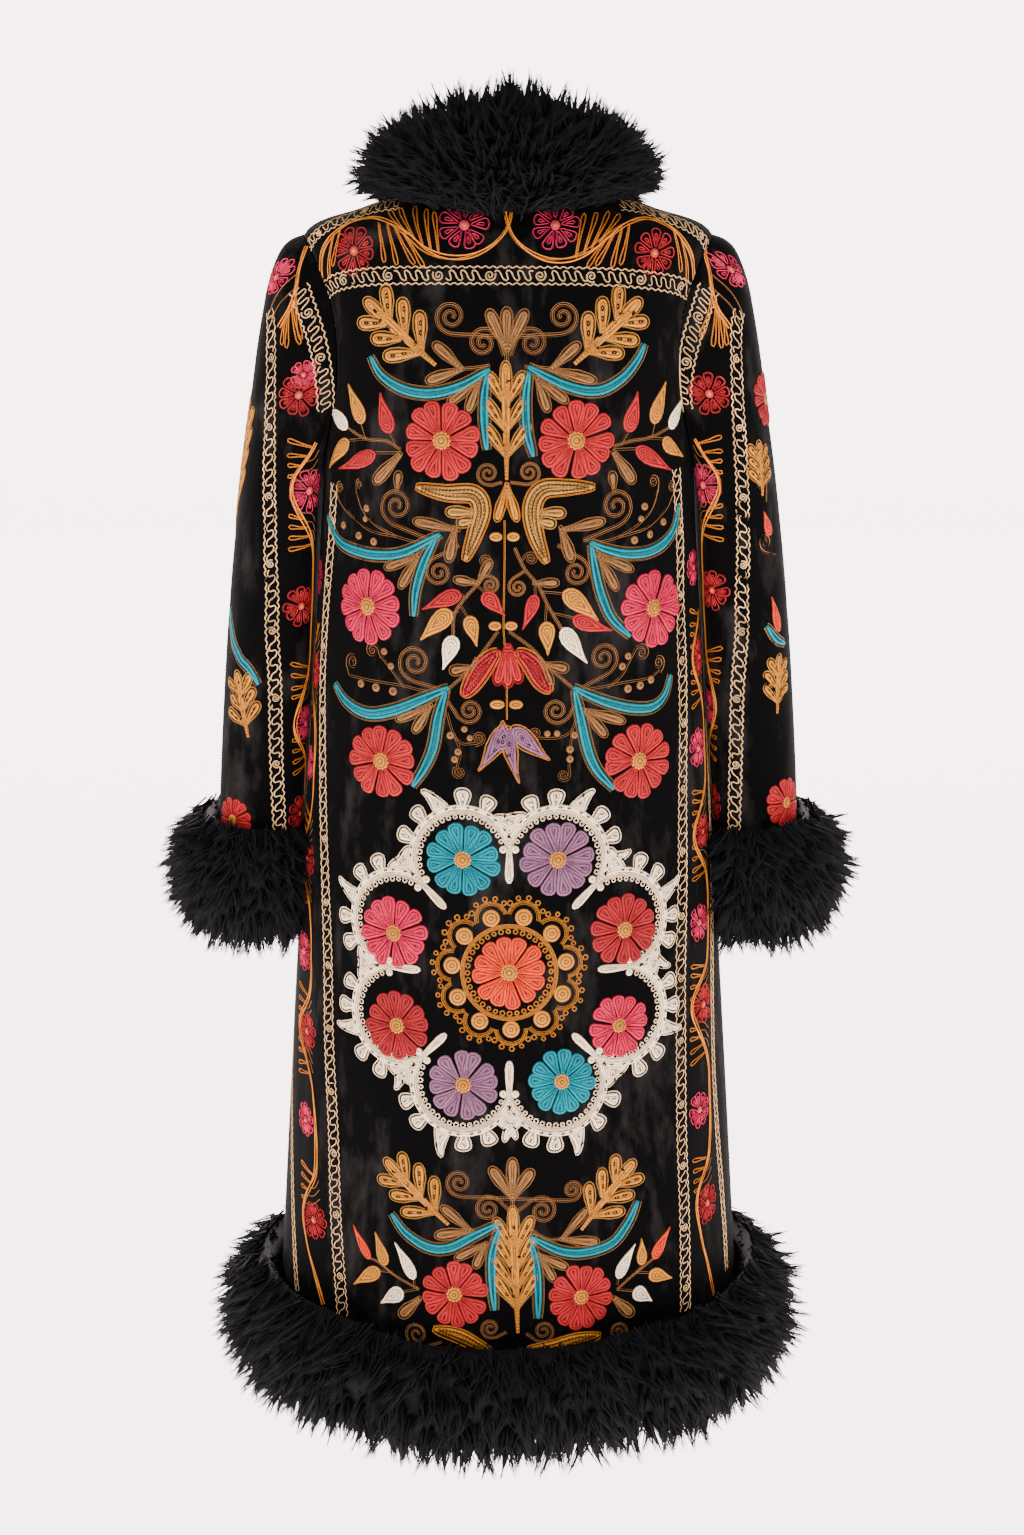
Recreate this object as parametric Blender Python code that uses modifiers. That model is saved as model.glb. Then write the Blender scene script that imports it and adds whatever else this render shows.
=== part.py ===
"""Long velvet coat in its worn shape, with no wearer: fur collar, fur cuffs and fur hem.

Metres, +Z up. The coat faces -Y, its back faces +Y, and the wearer's left is +X.
The origin is where the wearer's shoulders carry the coat, in the middle of the neck.
Each panel is a cloth wall lofted through sections of the body or the sleeve, and each
fur trim is a thick roll lofted round the edge that it is sewn to.
"""

import math

import bmesh
import bpy
import numpy as np

# Cloth and sewing
WALL = 0.0025
SEAM_GAP = 0.0009
FUR_GAP = 0.0012
FRONT_GAP = 0.0030
NUDGE = 1e-4

# Sections of the body, hem to neck. side, back and front are where the section crosses
# those lines: its height there, and how far out it lies. squareness is the power of the
# rounded outline, 2 for an ellipse.
BODY_COLUMNS = "side_z side_x back_z back_y front_z front_y squareness".split()
BODY_SECTIONS = {
    "hem": (-1.062, 0.2280, -1.080, 0.190, -1.062, 0.182, 2.15),
    "knee": (-0.872, 0.2165, -0.880, 0.175, -0.872, 0.167, 2.20),
    "thigh": (-0.650, 0.2020, -0.652, 0.158, -0.650, 0.152, 2.25),
    "waist": (-0.435, 0.1868, -0.435, 0.143, -0.435, 0.141, 2.30),
    "armpit": (-0.235, 0.1748, -0.235, 0.134, -0.235, 0.134, 2.35),
    "chest": (-0.165, 0.1790, -0.163, 0.130, -0.167, 0.129, 2.40),
    "shoulder_blade": (-0.095, 0.1850, -0.094, 0.121, -0.110, 0.117, 2.40),
    "shoulder_point": (-0.024, 0.1900, -0.040, 0.104, -0.080, 0.104, 2.30),
    "shoulder_middle": (0.001, 0.1350, -0.018, 0.091, -0.064, 0.094, 2.15),
    "neck": (0.019, 0.0780, 0.006, 0.076, -0.050, 0.082, 2.05),
}
ARMPIT_LEVEL = list(BODY_SECTIONS).index("armpit")
SHOULDER_LEVEL = list(BODY_SECTIONS).index("shoulder_point")
NECK_LEVEL = len(BODY_SECTIONS) - 1

# The armhole reaches this far round to the back and to the front, and the cloth dips
# into the seam there.
ARMHOLE_BACK = math.radians(24.0)
ARMHOLE_FRONT = math.radians(27.0)
SEAM_DIP = 0.0050
SEAM_DIP_WIDTH = 0.016

# Soft flares of the skirt: where each lies round the body (0 is the wearer's left side,
# 90 the middle of the back), how wide it is, the height it starts at, and its depth at the hem.
FOLD_COLUMNS = "angle spread start_z depth".split()
SKIRT_FOLDS = [
    (44.0, 9.0, -0.62, -0.0050),
    (68.0, 8.0, -0.80, 0.0030),
    (97.0, 9.0, -0.84, -0.0030),
    (121.0, 8.0, -0.58, -0.0060),
    (142.0, 8.0, -0.66, 0.0045),
    (216.0, 9.0, -0.60, -0.0060),
    (242.0, 8.0, -0.70, 0.0045),
    (297.0, 8.0, -0.66, 0.0045),
    (322.0, 9.0, -0.62, -0.0055),
]

# Sections of the sleeve, armhole to wrist: the outer and the inner line, and half the depth.
SLEEVE_COLUMNS = "outer_x outer_z inner_x inner_z depth middle_y".split()
SLEEVE_SECTIONS = [
    (0.1900, -0.0240, 0.1755, -0.2350, 0.0700, 0.000),
    (0.2025, -0.0290, 0.1764, -0.2430, 0.0705, 0.000),
    (0.2130, -0.0400, 0.1774, -0.2520, 0.0710, 0.000),
    (0.2240, -0.0680, 0.1786, -0.2640, 0.0712, -0.001),
    (0.2345, -0.1190, 0.1797, -0.2820, 0.0715, -0.002),
    (0.2440, -0.1850, 0.1813, -0.3080, 0.0715, -0.003),
    (0.2545, -0.2590, 0.1835, -0.3460, 0.0710, -0.005),
    (0.2670, -0.3710, 0.1878, -0.4190, 0.0695, -0.008),
    (0.2765, -0.4920, 0.1944, -0.5160, 0.0675, -0.012),
    (0.2830, -0.6050, 0.2036, -0.6130, 0.0660, -0.015),
]
WRIST_STATION = len(SLEEVE_SECTIONS) - 1
# The sections over which the armhole's outline becomes the sleeve's
CAP_BLEND = 3.0
SLEEVE_SQUARENESS = 2.25
# The sleeve's inner side curves round the body that it rests against.
SLEEVE_WRAP = 0.018

# Fur rolls, as (along, out) from the cloth's edge: along is up on to the cloth, and
# negative past its edge; out is away from its face.
HEM_ROLL = [
    (0.026, FUR_GAP),
    (-FUR_GAP, FUR_GAP),
    (-FUR_GAP, -WALL - 0.0030),
    (-0.040, -0.0100),
    (-0.068, -0.0040),
    (-0.077, 0.0100),
    (-0.070, 0.0280),
    (-0.050, 0.0450),
    (-0.016, 0.0535),
    (0.018, 0.0480),
    (0.042, 0.0270),
]
HEM_SIDE_RISE = 0.40
CUFF_ROLL = [
    (0.024, FUR_GAP),
    (-FUR_GAP, FUR_GAP),
    (-FUR_GAP, -WALL - 0.0025),
    (-0.040, -0.0085),
    (-0.074, -0.0040),
    (-0.090, 0.0060),
    (-0.086, 0.0240),
    (-0.062, 0.0400),
    (-0.024, 0.0450),
    (0.014, 0.0370),
    (0.040, 0.0170),
]
# How much of its depth is left to the cuff's fur where it is pressed against the body
CUFF_PRESSED = 0.05

# The collar's roll, as shares of its reach and of its height from the cloth's neck edge.
COLLAR_ROLL = [
    (-0.10, 0.30),
    (-0.08, 0.70),
    (0.02, 0.96),
    (0.28, 0.98),
    (0.60, 0.80),
    (0.86, 0.50),
    (1.00, 0.16),
    (0.94, -0.06),
]
COLLAR_INSIDE = 0.0035
COLLAR_FOOT_LEVELS = (NECK_LEVEL - 0.75, NECK_LEVEL - 0.5, NECK_LEVEL - 0.1)
COLLAR_BACK, COLLAR_SIDE, COLLAR_FRONT = (0.050, 0.104), (0.059, 0.054), (0.046, 0.048)
COLLAR_END_TAPER = 0.10

# Locks of fur, raised in the outer points of the rolls
LOCK_LENGTH = 0.046
LOCK_DEPTH = 0.0060

# How finely the sections are taken
BACK_COLUMNS, FRONT_COLUMNS = 34, 17
SKIRT_ROWS, ARMHOLE_ROWS, SHOULDER_ROWS = 11, 11, 5
SLEEVE_ROUND, SLEEVE_ROWS = 26, 17
HEM_STEPS, COLLAR_STEPS, CUFF_STEPS = 116, 54, 40

VELVET = ("black_velvet", (0.012, 0.011, 0.012, 1.0), 0.85)
FUR = ("black_fur", (0.010, 0.011, 0.013, 1.0), 0.60)


def between_rows(rows, place):
    """The table's row at a fractional place, on a smooth curve through its rows."""
    rows = np.asarray(rows, float)
    place = np.clip(np.asarray(place, float), 0, len(rows) - 1)
    low = np.minimum(place.astype(int), len(rows) - 2)
    part = (place - low)[..., None]
    before = rows[np.maximum(low - 1, 0)]
    start, end = rows[low], rows[low + 1]
    after = rows[np.minimum(low + 2, len(rows) - 1)]
    slope_in = (end - before) / np.where(low > 0, 2, 1)[..., None]
    slope_out = (after - start) / np.where(low < len(rows) - 2, 2, 1)[..., None]
    return (
        start
        + part * slope_in
        + part**2 * (3 * (end - start) - 2 * slope_in - slope_out)
        + part**3 * (slope_in + slope_out - 2 * (end - start))
    )


def columns(names, rows):
    return dict(zip(names, np.moveaxis(rows, -1, 0)))


def ease(share):
    share = np.clip(share, 0, 1)
    return share * share * (3 - 2 * share)


def armhole_edge(level, reach):
    """How far the armhole reaches round from the side line at a level of the body."""
    share = (level - ARMPIT_LEVEL) / (SHOULDER_LEVEL - ARMPIT_LEVEL)
    return reach * 2 * np.sqrt(np.clip(share * (1 - share), 0, None))


def body_point(angle, level):
    """A point of the coat's outer face. angle is 0 at the wearer's left side and 90 degrees
    at the middle of the back, and level counts the sections up from the hem."""
    angle, level = np.broadcast_arrays(np.asarray(angle, float), np.asarray(level, float))
    row = columns(BODY_COLUMNS, between_rows(list(BODY_SECTIONS.values()), level))
    across, deep = np.cos(angle), np.sin(angle)
    at_back = deep >= 0
    depth = np.where(at_back, row["back_y"], row["front_y"])
    power = row["squareness"]
    out = (
        (np.abs(across) / row["side_x"]) ** power + (np.abs(deep) / depth) ** power
    ) ** (-1 / power)
    height = row["side_z"] * across**2 + np.where(
        at_back, row["back_z"], row["front_z"]
    ) * (deep**2)
    for fold in SKIRT_FOLDS:
        fold = dict(zip(FOLD_COLUMNS, fold))
        turn = (angle - math.radians(fold["angle"]) + math.pi) % (2 * math.pi) - math.pi
        drop = (fold["start_z"] - height) / (fold["start_z"] - BODY_SECTIONS["hem"][0])
        out = out + fold["depth"] * ease(drop) * np.exp(
            -((turn / math.radians(fold["spread"])) ** 2)
        )
    from_side = np.abs(np.arctan2(deep, np.abs(across)))
    edge = armhole_edge(level, np.where(at_back, ARMHOLE_BACK, ARMHOLE_FRONT))
    reach = np.where(at_back, ARMHOLE_BACK, ARMHOLE_FRONT)
    near = (from_side - edge) * out / SEAM_DIP_WIDTH
    out = out - SEAM_DIP * (edge / reach) * np.exp(-(near**2))
    return np.stack([out * across, out * deep, height], axis=-1)


def body_face(angle, level):
    """(points, outward normals) of the coat's outer face."""
    angle, level = np.broadcast_arrays(np.asarray(angle, float), np.asarray(level, float))
    low = np.clip(level - NUDGE, 0, NECK_LEVEL)
    high = np.clip(level + NUDGE, 0, NECK_LEVEL)
    round_it = body_point(angle + NUDGE, level) - body_point(angle - NUDGE, level)
    up_it = body_point(angle, high) - body_point(angle, low)
    return body_point(angle, level), unit(np.cross(round_it, up_it))


def armhole_point(turn):
    """A point of the armhole's seam on the wearer's left: turn is 0 at the shoulder point,
    90 degrees at the back and 180 at the armpit."""
    share = (1 + np.cos(turn)) / 2
    level = ARMPIT_LEVEL + (SHOULDER_LEVEL - ARMPIT_LEVEL) * share
    reach = np.where(np.sin(turn) >= 0, ARMHOLE_BACK, ARMHOLE_FRONT)
    return body_point(reach * np.sin(turn), level)


def sleeve_point(turn, station):
    """A point of the left sleeve's outer face: turn goes round it as at the armhole, and
    station counts its sections down from there."""
    turn, station = np.broadcast_arrays(
        np.asarray(turn, float), np.asarray(station, float)
    )
    row = columns(SLEEVE_COLUMNS, between_rows(SLEEVE_SECTIONS, station))
    first = dict(zip(SLEEVE_COLUMNS, SLEEVE_SECTIONS[0]))
    above, beside = np.cos(turn), np.sin(turn)
    size = (np.abs(above) ** SLEEVE_SQUARENESS + np.abs(beside) ** SLEEVE_SQUARENESS) ** (
        -1 / SLEEVE_SQUARENESS
    )
    up_share = (1 + above * size) / 2
    tube = np.stack(
        [
            row["inner_x"] + (row["outer_x"] - row["inner_x"]) * up_share,
            row["middle_y"] + row["depth"] * beside * size,
            row["inner_z"] + (row["outer_z"] - row["inner_z"]) * up_share,
        ],
        axis=-1,
    )
    tube[..., 0] -= SLEEVE_WRAP * (beside * size) ** 2 * (1 - up_share)
    share = (1 + above) / 2
    moved = np.stack(
        [
            SEAM_GAP
            + (row["outer_x"] - first["outer_x"]) * share
            + (row["inner_x"] - first["inner_x"]) * (1 - share),
            np.zeros_like(turn),
            (row["outer_z"] - first["outer_z"]) * share
            + (row["inner_z"] - first["inner_z"]) * (1 - share),
        ],
        axis=-1,
    )
    blend = ease(station / CAP_BLEND)[..., None]
    return (armhole_point(turn) + moved) * (1 - blend) + tube * blend


def sleeve_face(turn, station):
    """(points, outward normals) of the left sleeve's outer face."""
    turn, station = np.broadcast_arrays(
        np.asarray(turn, float), np.asarray(station, float)
    )
    above = np.clip(station - NUDGE, 0, WRIST_STATION)
    below = np.clip(station + NUDGE, 0, WRIST_STATION)
    round_it = sleeve_point(turn + NUDGE, station) - sleeve_point(turn - NUDGE, station)
    down_it = sleeve_point(turn, below) - sleeve_point(turn, above)
    return sleeve_point(turn, station), unit(np.cross(down_it, round_it))


def unit(vectors):
    return vectors / np.linalg.norm(vectors, axis=-1, keepdims=True)


def make_object(name, points, faces, finish, collection):
    mesh = bpy.data.meshes.new(name)
    mesh.from_pydata([tuple(p) for p in points], [], faces)
    mesh.shade_smooth()
    mesh.materials.append(finish)
    made = bpy.data.objects.new(name, mesh)
    collection.objects.link(made)
    return made


def cloth(name, outer, finish, collection, closed_round=False):
    """A panel of cloth from a grid of points on its outer face, as (columns, rows). The
    columns run so that the grid faces out, and the wall is inside it."""
    wide, high = outer.shape[:2]
    faces = [
        [
            i * high + j,
            (i + 1) % wide * high + j,
            (i + 1) % wide * high + j + 1,
            i * high + j + 1,
        ]
        for i in range(wide if closed_round else wide - 1)
        for j in range(high - 1)
    ]
    made = make_object(name, outer.reshape(-1, 3), faces, finish, collection)
    wall = made.modifiers.new("wall", "SOLIDIFY")
    wall.thickness = WALL
    wall.offset = -1.0
    wall.use_quality_normals = True
    return made


def roll(name, sections, finish, collection, closed_round):
    """A solid lofted through closed sections, as (sections, points of each)."""
    count, size = sections.shape[:2]
    faces = [
        [
            i * size + j,
            i * size + (j + 1) % size,
            (i + 1) % count * size + (j + 1) % size,
            (i + 1) % count * size + j,
        ]
        for i in range(count if closed_round else count - 1)
        for j in range(size)
    ]
    if not closed_round:
        faces.append(list(range(size)))
        faces.append([(count - 1) * size + j for j in range(size)])
    made = make_object(name, sections.reshape(-1, 3), faces, finish, collection)
    tidy = bmesh.new()
    tidy.from_mesh(made.data)
    bmesh.ops.recalc_face_normals(tidy, faces=tidy.faces)
    bmesh.ops.triangulate(tidy, faces=[f for f in tidy.faces if len(f.verts) > 4])
    tidy.to_mesh(made.data)
    tidy.free()
    return made


def body_levels():
    """The levels of a panel's rows, hem to neck, closer together round the armhole."""
    skirt = np.linspace(0, ARMPIT_LEVEL, SKIRT_ROWS, endpoint=False)
    swing = np.linspace(0, math.pi, ARMHOLE_ROWS, endpoint=False)
    armhole = ARMPIT_LEVEL + (SHOULDER_LEVEL - ARMPIT_LEVEL) * (1 - np.cos(swing)) / 2
    shoulder = np.linspace(SHOULDER_LEVEL, NECK_LEVEL, SHOULDER_ROWS)
    return np.concatenate([skirt, armhole, shoulder])


def seam_angle(distance, angle, level):
    """The turn round the body that makes a distance on its face."""
    return distance / np.linalg.norm(body_point(angle, level)[..., :2], axis=-1)


def back_panel(finish, collection):
    """The back, cut in one from hem to neck, between the side seams and the armholes."""
    levels = body_levels()
    edge = armhole_edge(levels, ARMHOLE_BACK)
    edge = edge + seam_angle(SEAM_GAP / 2, edge, levels)
    share = np.linspace(0, 1, BACK_COLUMNS + 1)[:, None]
    angles = edge + (math.pi - 2 * edge) * share
    return cloth("back", body_point(angles, levels[None, :]), finish, collection)


def front_panel(side, finish, collection):
    """One front, from its side seam and armhole to the middle, where the two fronts meet."""
    levels = body_levels()
    edge = armhole_edge(levels, ARMHOLE_FRONT)
    edge = edge + seam_angle(SEAM_GAP / 2, -edge, levels)
    middle = math.pi / 2 - seam_angle(FRONT_GAP / 2, -math.pi / 2, levels)
    share = np.linspace(0, 1, FRONT_COLUMNS + 1)[:, None]
    if side > 0:
        name, angles = "front_left", -(middle + (edge - middle) * share)
    else:
        name, angles = "front_right", math.pi + edge + (middle - edge) * share
    return cloth(name, body_point(angles, levels[None, :]), finish, collection)


def sleeve(side, finish, collection):
    """One sleeve, a tube from the armhole to the wrist, open at both ends."""
    turns = -side * np.arange(SLEEVE_ROUND)[:, None] * 2 * math.pi / SLEEVE_ROUND
    cap = np.linspace(0, CAP_BLEND + 2, SLEEVE_ROWS // 2, endpoint=False)
    arm = np.linspace(CAP_BLEND + 2, WRIST_STATION, SLEEVE_ROWS - SLEEVE_ROWS // 2)
    stations = np.concatenate([cap, arm])[None, :]
    outer = sleeve_point(turns, stations) * np.array([side, 1, 1])
    name = "sleeve_left" if side > 0 else "sleeve_right"
    return cloth(name, outer, finish, collection, closed_round=True)


def locks(steps, length_round, row):
    """How far each step of a roll stands out for its locks of fur. Each row of points has
    its locks at other places, so that they lie like shingles."""
    count = round(length_round / LOCK_LENGTH)
    place = np.arange(steps) / steps * count + 0.37 * row
    uneven = 0.75 + 0.25 * np.sin(2.4 * np.floor(place) + row)
    return LOCK_DEPTH * (np.abs(np.sin(math.pi * place)) - 0.6) * uneven


def edge_roll(edge, off_edge, outward, on_cloth, profile, swell, rise):
    """The sections of a fur roll sewn to a cloth edge. edge is a row of edge points, off_edge
    and outward their directions past the edge and away from the cloth, and on_cloth gives the
    cloth's own points that far up from the edge. swell scales how far the fur stands out and
    rise how far up the cloth it stands."""
    length_round = np.linalg.norm(np.diff(edge, axis=0), axis=1).sum()
    sections = []
    for row, (along, out) in enumerate(profile):
        pile = out > FUR_GAP
        stand = np.full(len(edge), out)
        if pile:
            stand = FUR_GAP + (out + locks(len(edge), length_round, row)) * swell
        if along > 0:
            base, normal = on_cloth(along * (rise if pile else np.ones(len(edge))))
        else:
            base, normal = edge - off_edge * along, outward
        sections.append(base + normal * stand[:, None])
    return np.stack(sections, axis=1)


def level_above_edge(along):
    """How many body levels up from the hem a distance on the cloth is."""
    names = list(BODY_SECTIONS)
    first, second = BODY_SECTIONS[names[0]], BODY_SECTIONS[names[1]]
    return along / (second[0] - first[0])


def hem_fur(finish, collection):
    """The fur roll round the hem, open at the middle of the front as the fronts are."""
    gap = seam_angle(FRONT_GAP / 2, -math.pi / 2, 0)
    angles = np.linspace(-math.pi / 2 + gap, 1.5 * math.pi - gap, HEM_STEPS)
    edge, outward = body_face(angles, 0)
    off_edge = unit(edge - body_point(angles, level_above_edge(0.01)))
    sections = edge_roll(
        edge,
        off_edge,
        outward,
        lambda along: body_face(angles, level_above_edge(along)),
        HEM_ROLL,
        np.ones(HEM_STEPS),
        1 + HEM_SIDE_RISE * np.cos(angles) ** 2,
    )
    return roll("hem_fur", sections, finish, collection, False)


def cuff_fur(side, finish, collection):
    """The fur roll round a wrist. It is pressed flat where it lies against the body."""
    turns = np.arange(CUFF_STEPS) * 2 * math.pi / CUFF_STEPS
    edge, outward = sleeve_face(turns, WRIST_STATION)
    step_down = 0.2
    above = sleeve_point(turns, WRIST_STATION - step_down)
    off_edge = unit(edge - above)
    per_station = np.linalg.norm(edge - above, axis=1) / step_down
    swell = CUFF_PRESSED + (1 - CUFF_PRESSED) * ease((np.cos(turns) + 1) / 1.2)
    sections = edge_roll(
        edge,
        off_edge,
        outward,
        lambda along: sleeve_face(turns, WRIST_STATION - along / per_station),
        CUFF_ROLL,
        swell,
        np.ones(CUFF_STEPS),
    )
    name = "cuff_fur_left" if side > 0 else "cuff_fur_right"
    return roll(name, sections * np.array([side, 1, 1]), finish, collection, True)


def collar_fur(finish, collection):
    """The fur collar, standing high at the back of the neck and lying on the shoulders."""
    gap = seam_angle(FRONT_GAP / 2, -math.pi / 2, NECK_LEVEL)
    angles = np.linspace(-math.pi / 2 + gap, 1.5 * math.pi - gap, COLLAR_STEPS)
    across, deep = np.cos(angles), np.sin(angles)
    ends = np.where(deep >= 0, deep**2, 0)[:, None]
    fronts = np.where(deep < 0, deep**2, 0)[:, None]
    sides = (across**2)[:, None]
    size = (
        ends * np.array(COLLAR_BACK)
        + sides * np.array(COLLAR_SIDE)
        + fronts * np.array(COLLAR_FRONT)
    )
    from_end = np.minimum(angles - angles[0], angles[-1] - angles)
    taper = 0.72 + 0.28 * ease(from_end / COLLAR_END_TAPER / math.pi)
    reach, height = size[:, 0] * taper, size[:, 1] * taper
    edge = body_point(angles, NECK_LEVEL)
    radial = np.stack([across, deep, np.zeros_like(across)], axis=1)
    up = np.array([0.0, 0.0, 1.0])
    sections = []
    for level in COLLAR_FOOT_LEVELS:
        base, normal = body_face(angles, level)
        sections.append(base + normal * FUR_GAP)
    over = edge + up * FUR_GAP
    sections.append(over + radial * FUR_GAP)
    sections.append(over - radial * COLLAR_INSIDE)
    length_round = np.linalg.norm(np.diff(edge, axis=0), axis=1).sum()
    for row, (reach_share, height_share) in enumerate(COLLAR_ROLL):
        stand = locks(COLLAR_STEPS, length_round * 1.5, row) if reach_share > 0 else 0
        sections.append(
            edge
            + radial * (reach * reach_share + stand)[:, None]
            + up * (height * height_share + stand)[:, None]
        )
    return roll("collar_fur", np.stack(sections, axis=1), finish, collection, False)


def material(name, colour, roughness):
    made = bpy.data.materials.new(name)
    made.use_nodes = True
    shader = made.node_tree.nodes["Principled BSDF"]
    shader.inputs["Base Color"].default_value = colour
    shader.inputs["Roughness"].default_value = roughness
    shader.inputs["Metallic"].default_value = 0.0
    made.diffuse_color = colour
    return made


def main():
    for old in list(bpy.data.objects):
        bpy.data.objects.remove(old)
    collection = bpy.data.collections.new("velvet_coat")
    bpy.context.scene.collection.children.link(collection)
    velvet, fur = material(*VELVET), material(*FUR)
    back_panel(velvet, collection)
    for side in (1, -1):
        front_panel(side, velvet, collection)
        sleeve(side, velvet, collection)
        cuff_fur(side, fur, collection)
    hem_fur(fur, collection)
    collar_fur(fur, collection)


main()
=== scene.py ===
import math

import bmesh
import bpy
import numpy as np
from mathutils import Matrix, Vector


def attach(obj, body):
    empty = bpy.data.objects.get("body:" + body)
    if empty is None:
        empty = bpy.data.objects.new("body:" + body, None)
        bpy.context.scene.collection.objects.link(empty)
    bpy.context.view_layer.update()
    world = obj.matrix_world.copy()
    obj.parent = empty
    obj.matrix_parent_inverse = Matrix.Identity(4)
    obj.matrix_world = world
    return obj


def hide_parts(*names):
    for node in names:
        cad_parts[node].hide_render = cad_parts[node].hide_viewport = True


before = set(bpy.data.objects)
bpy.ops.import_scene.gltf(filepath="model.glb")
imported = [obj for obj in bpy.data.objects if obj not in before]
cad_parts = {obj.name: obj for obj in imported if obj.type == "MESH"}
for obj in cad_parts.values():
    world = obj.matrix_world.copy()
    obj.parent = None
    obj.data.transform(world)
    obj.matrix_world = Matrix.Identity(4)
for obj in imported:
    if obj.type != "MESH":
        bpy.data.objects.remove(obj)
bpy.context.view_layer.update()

# ---------------------------------------------------------------------------------------
# The back and the two fronts: black velvet, each cut in one from neck to hem and flared a
# little, joined at the shoulders and sides. The fronts meet edge to edge. The coat stands
# in its worn shape, with soft creases from the armholes and flutes down the skirt.
MM = 0.001
CLOTH_WALL = 0.0025
SEAM = 0.0009
FRONT_OPENING = 0.0030
BODY_RADIUS, SLEEVE_RADIUS = 0.18, 0.06
BODY_COLUMNS = "side_z side_x back_z back_y front_z front_y squareness".split()
BODY_SECTIONS = np.array(
    [
        (-1.062, 0.2280, -1.080, 0.190, -1.062, 0.182, 2.15),
        (-0.872, 0.2165, -0.880, 0.175, -0.872, 0.167, 2.20),
        (-0.650, 0.2020, -0.652, 0.158, -0.650, 0.152, 2.25),
        (-0.435, 0.1868, -0.435, 0.143, -0.435, 0.141, 2.30),
        (-0.235, 0.1748, -0.235, 0.134, -0.235, 0.134, 2.35),
        (-0.165, 0.1790, -0.163, 0.130, -0.167, 0.129, 2.40),
        (-0.095, 0.1850, -0.094, 0.121, -0.110, 0.117, 2.40),
        (-0.024, 0.1900, -0.040, 0.104, -0.080, 0.104, 2.30),
        (0.001, 0.1350, -0.018, 0.091, -0.064, 0.094, 2.15),
        (0.019, 0.0780, 0.006, 0.076, -0.050, 0.082, 2.05),
    ]
)
ARMPIT, SHOULDER, NECK = 4, 7, 9
ARMHOLE_BACK, ARMHOLE_FRONT = math.radians(24.0), math.radians(27.0)
SEAM_DIP, SEAM_DIP_WIDTH = 0.0050, 0.016
# degrees round the body, spread in degrees, the height in metres that a flute starts at
# and how far it stands in or out at the hem
SKIRT_FLUTES = [
    (44.0, 9.0, -0.62, -0.005), (68.0, 8.0, -0.8, 0.003), (97.0, 9.0, -0.84, -0.003),
    (121.0, 8.0, -0.58, -0.006), (142.0, 8.0, -0.66, 0.0045), (216.0, 9.0, -0.6, -0.006),
    (242.0, 8.0, -0.7, 0.0045), (297.0, 8.0, -0.66, 0.0045), (322.0, 9.0, -0.62, -0.0055),
]
# Soft creases, from (degrees, mm down) to (degrees, mm down), half width and rise in mm. Those of
# the fronts are like the back's, as the photograph hides them.
BODY_CREASES = [
    ((27, 190), (38, 330), 9, -2.0), ((33, 215), (47, 300), 8, 1.6),
    ((154, 185), (143, 320), 9, -2.0), ((149, 230), (136, 300), 8, 1.5),
    ((20, 300), (34, 420), 11, -1.6), ((160, 320), (147, 450), 11, -1.7),
    ((30, 450), (33, 640), 12, 1.6), ((52, 560), (49, 800), 15, -1.6),
    ((150, 470), (148, 700), 12, 1.7), ((132, 600), (134, 860), 15, -1.6),
    ((112, 700), (114, 900), 16, 1.2), ((84, 760), (86, 960), 18, -1.0),
    ((18, 640), (22, 940), 12, -1.7), ((165, 660), (160, 960), 12, -1.9),
    ((74, 90), (60, 140), 13, -0.9), ((107, 92), (121, 145), 13, -0.9),
    ((-33, 190), (-46, 320), 9, -2.0), ((-40, 240), (-58, 330), 9, 1.5),
    ((213, 190), (228, 330), 9, -2.1), ((221, 250), (236, 330), 9, 1.4),
    ((-24, 330), (-38, 470), 11, -1.6), ((203, 340), (219, 480), 11, -1.6),
    ((-62, 480), (-56, 760), 15, -1.7), ((238, 500), (233, 780), 15, -1.6),
    ((-34, 520), (-30, 800), 12, 1.7), ((211, 560), (208, 820), 12, 1.6),
]


def between_rows(rows, place):
    """The table's row at a fractional place, on a smooth curve through its rows."""
    rows, place = np.asarray(rows, float), np.asarray(place, float)
    place = np.clip(place, 0, len(rows) - 1)
    low = np.minimum(place.astype(int), len(rows) - 2)
    part = (place - low)[..., None]
    start, end = rows[low], rows[low + 1]
    slope_in = (end - rows[np.maximum(low - 1, 0)]) / np.where(low > 0, 2, 1)[..., None]
    slope_out = (rows[np.minimum(low + 2, len(rows) - 1)] - start) / np.where(
        low < len(rows) - 2, 2, 1
    )[..., None]
    return (
        start
        + part * slope_in
        + part**2 * (3 * (end - start) - 2 * slope_in - slope_out)
        + part**3 * (slope_in + slope_out - 2 * (end - start))
    )


def ease(share):
    share = np.clip(share, 0, 1)
    return share * share * (3 - 2 * share)


def unit(vectors):
    return vectors / np.linalg.norm(vectors, axis=-1, keepdims=True)


def creased(creases, across, height):
    """How far the cloth stands out for the listed creases, at across and height in metres."""
    rise = np.zeros(np.broadcast(across, height).shape)
    for (x0, z0), (x1, z1), wide, lift in creases:
        x0, x1 = (math.radians(x) * BODY_RADIUS for x in (x0, x1))
        z0, z1 = -z0 * MM, -z1 * MM
        run = (x1 - x0) ** 2 + (z1 - z0) ** 2
        share = ((across - x0) * (x1 - x0) + (height - z0) * (z1 - z0)) / run
        share = np.clip(share, 0, 1)
        off = np.hypot(across - x0 - share * (x1 - x0), height - z0 - share * (z1 - z0))
        fade = 0.35 + 0.65 * np.sin(math.pi * share)
        rise += lift * MM * np.exp(-((off / (wide * MM)) ** 2)) * fade
    return rise


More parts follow.
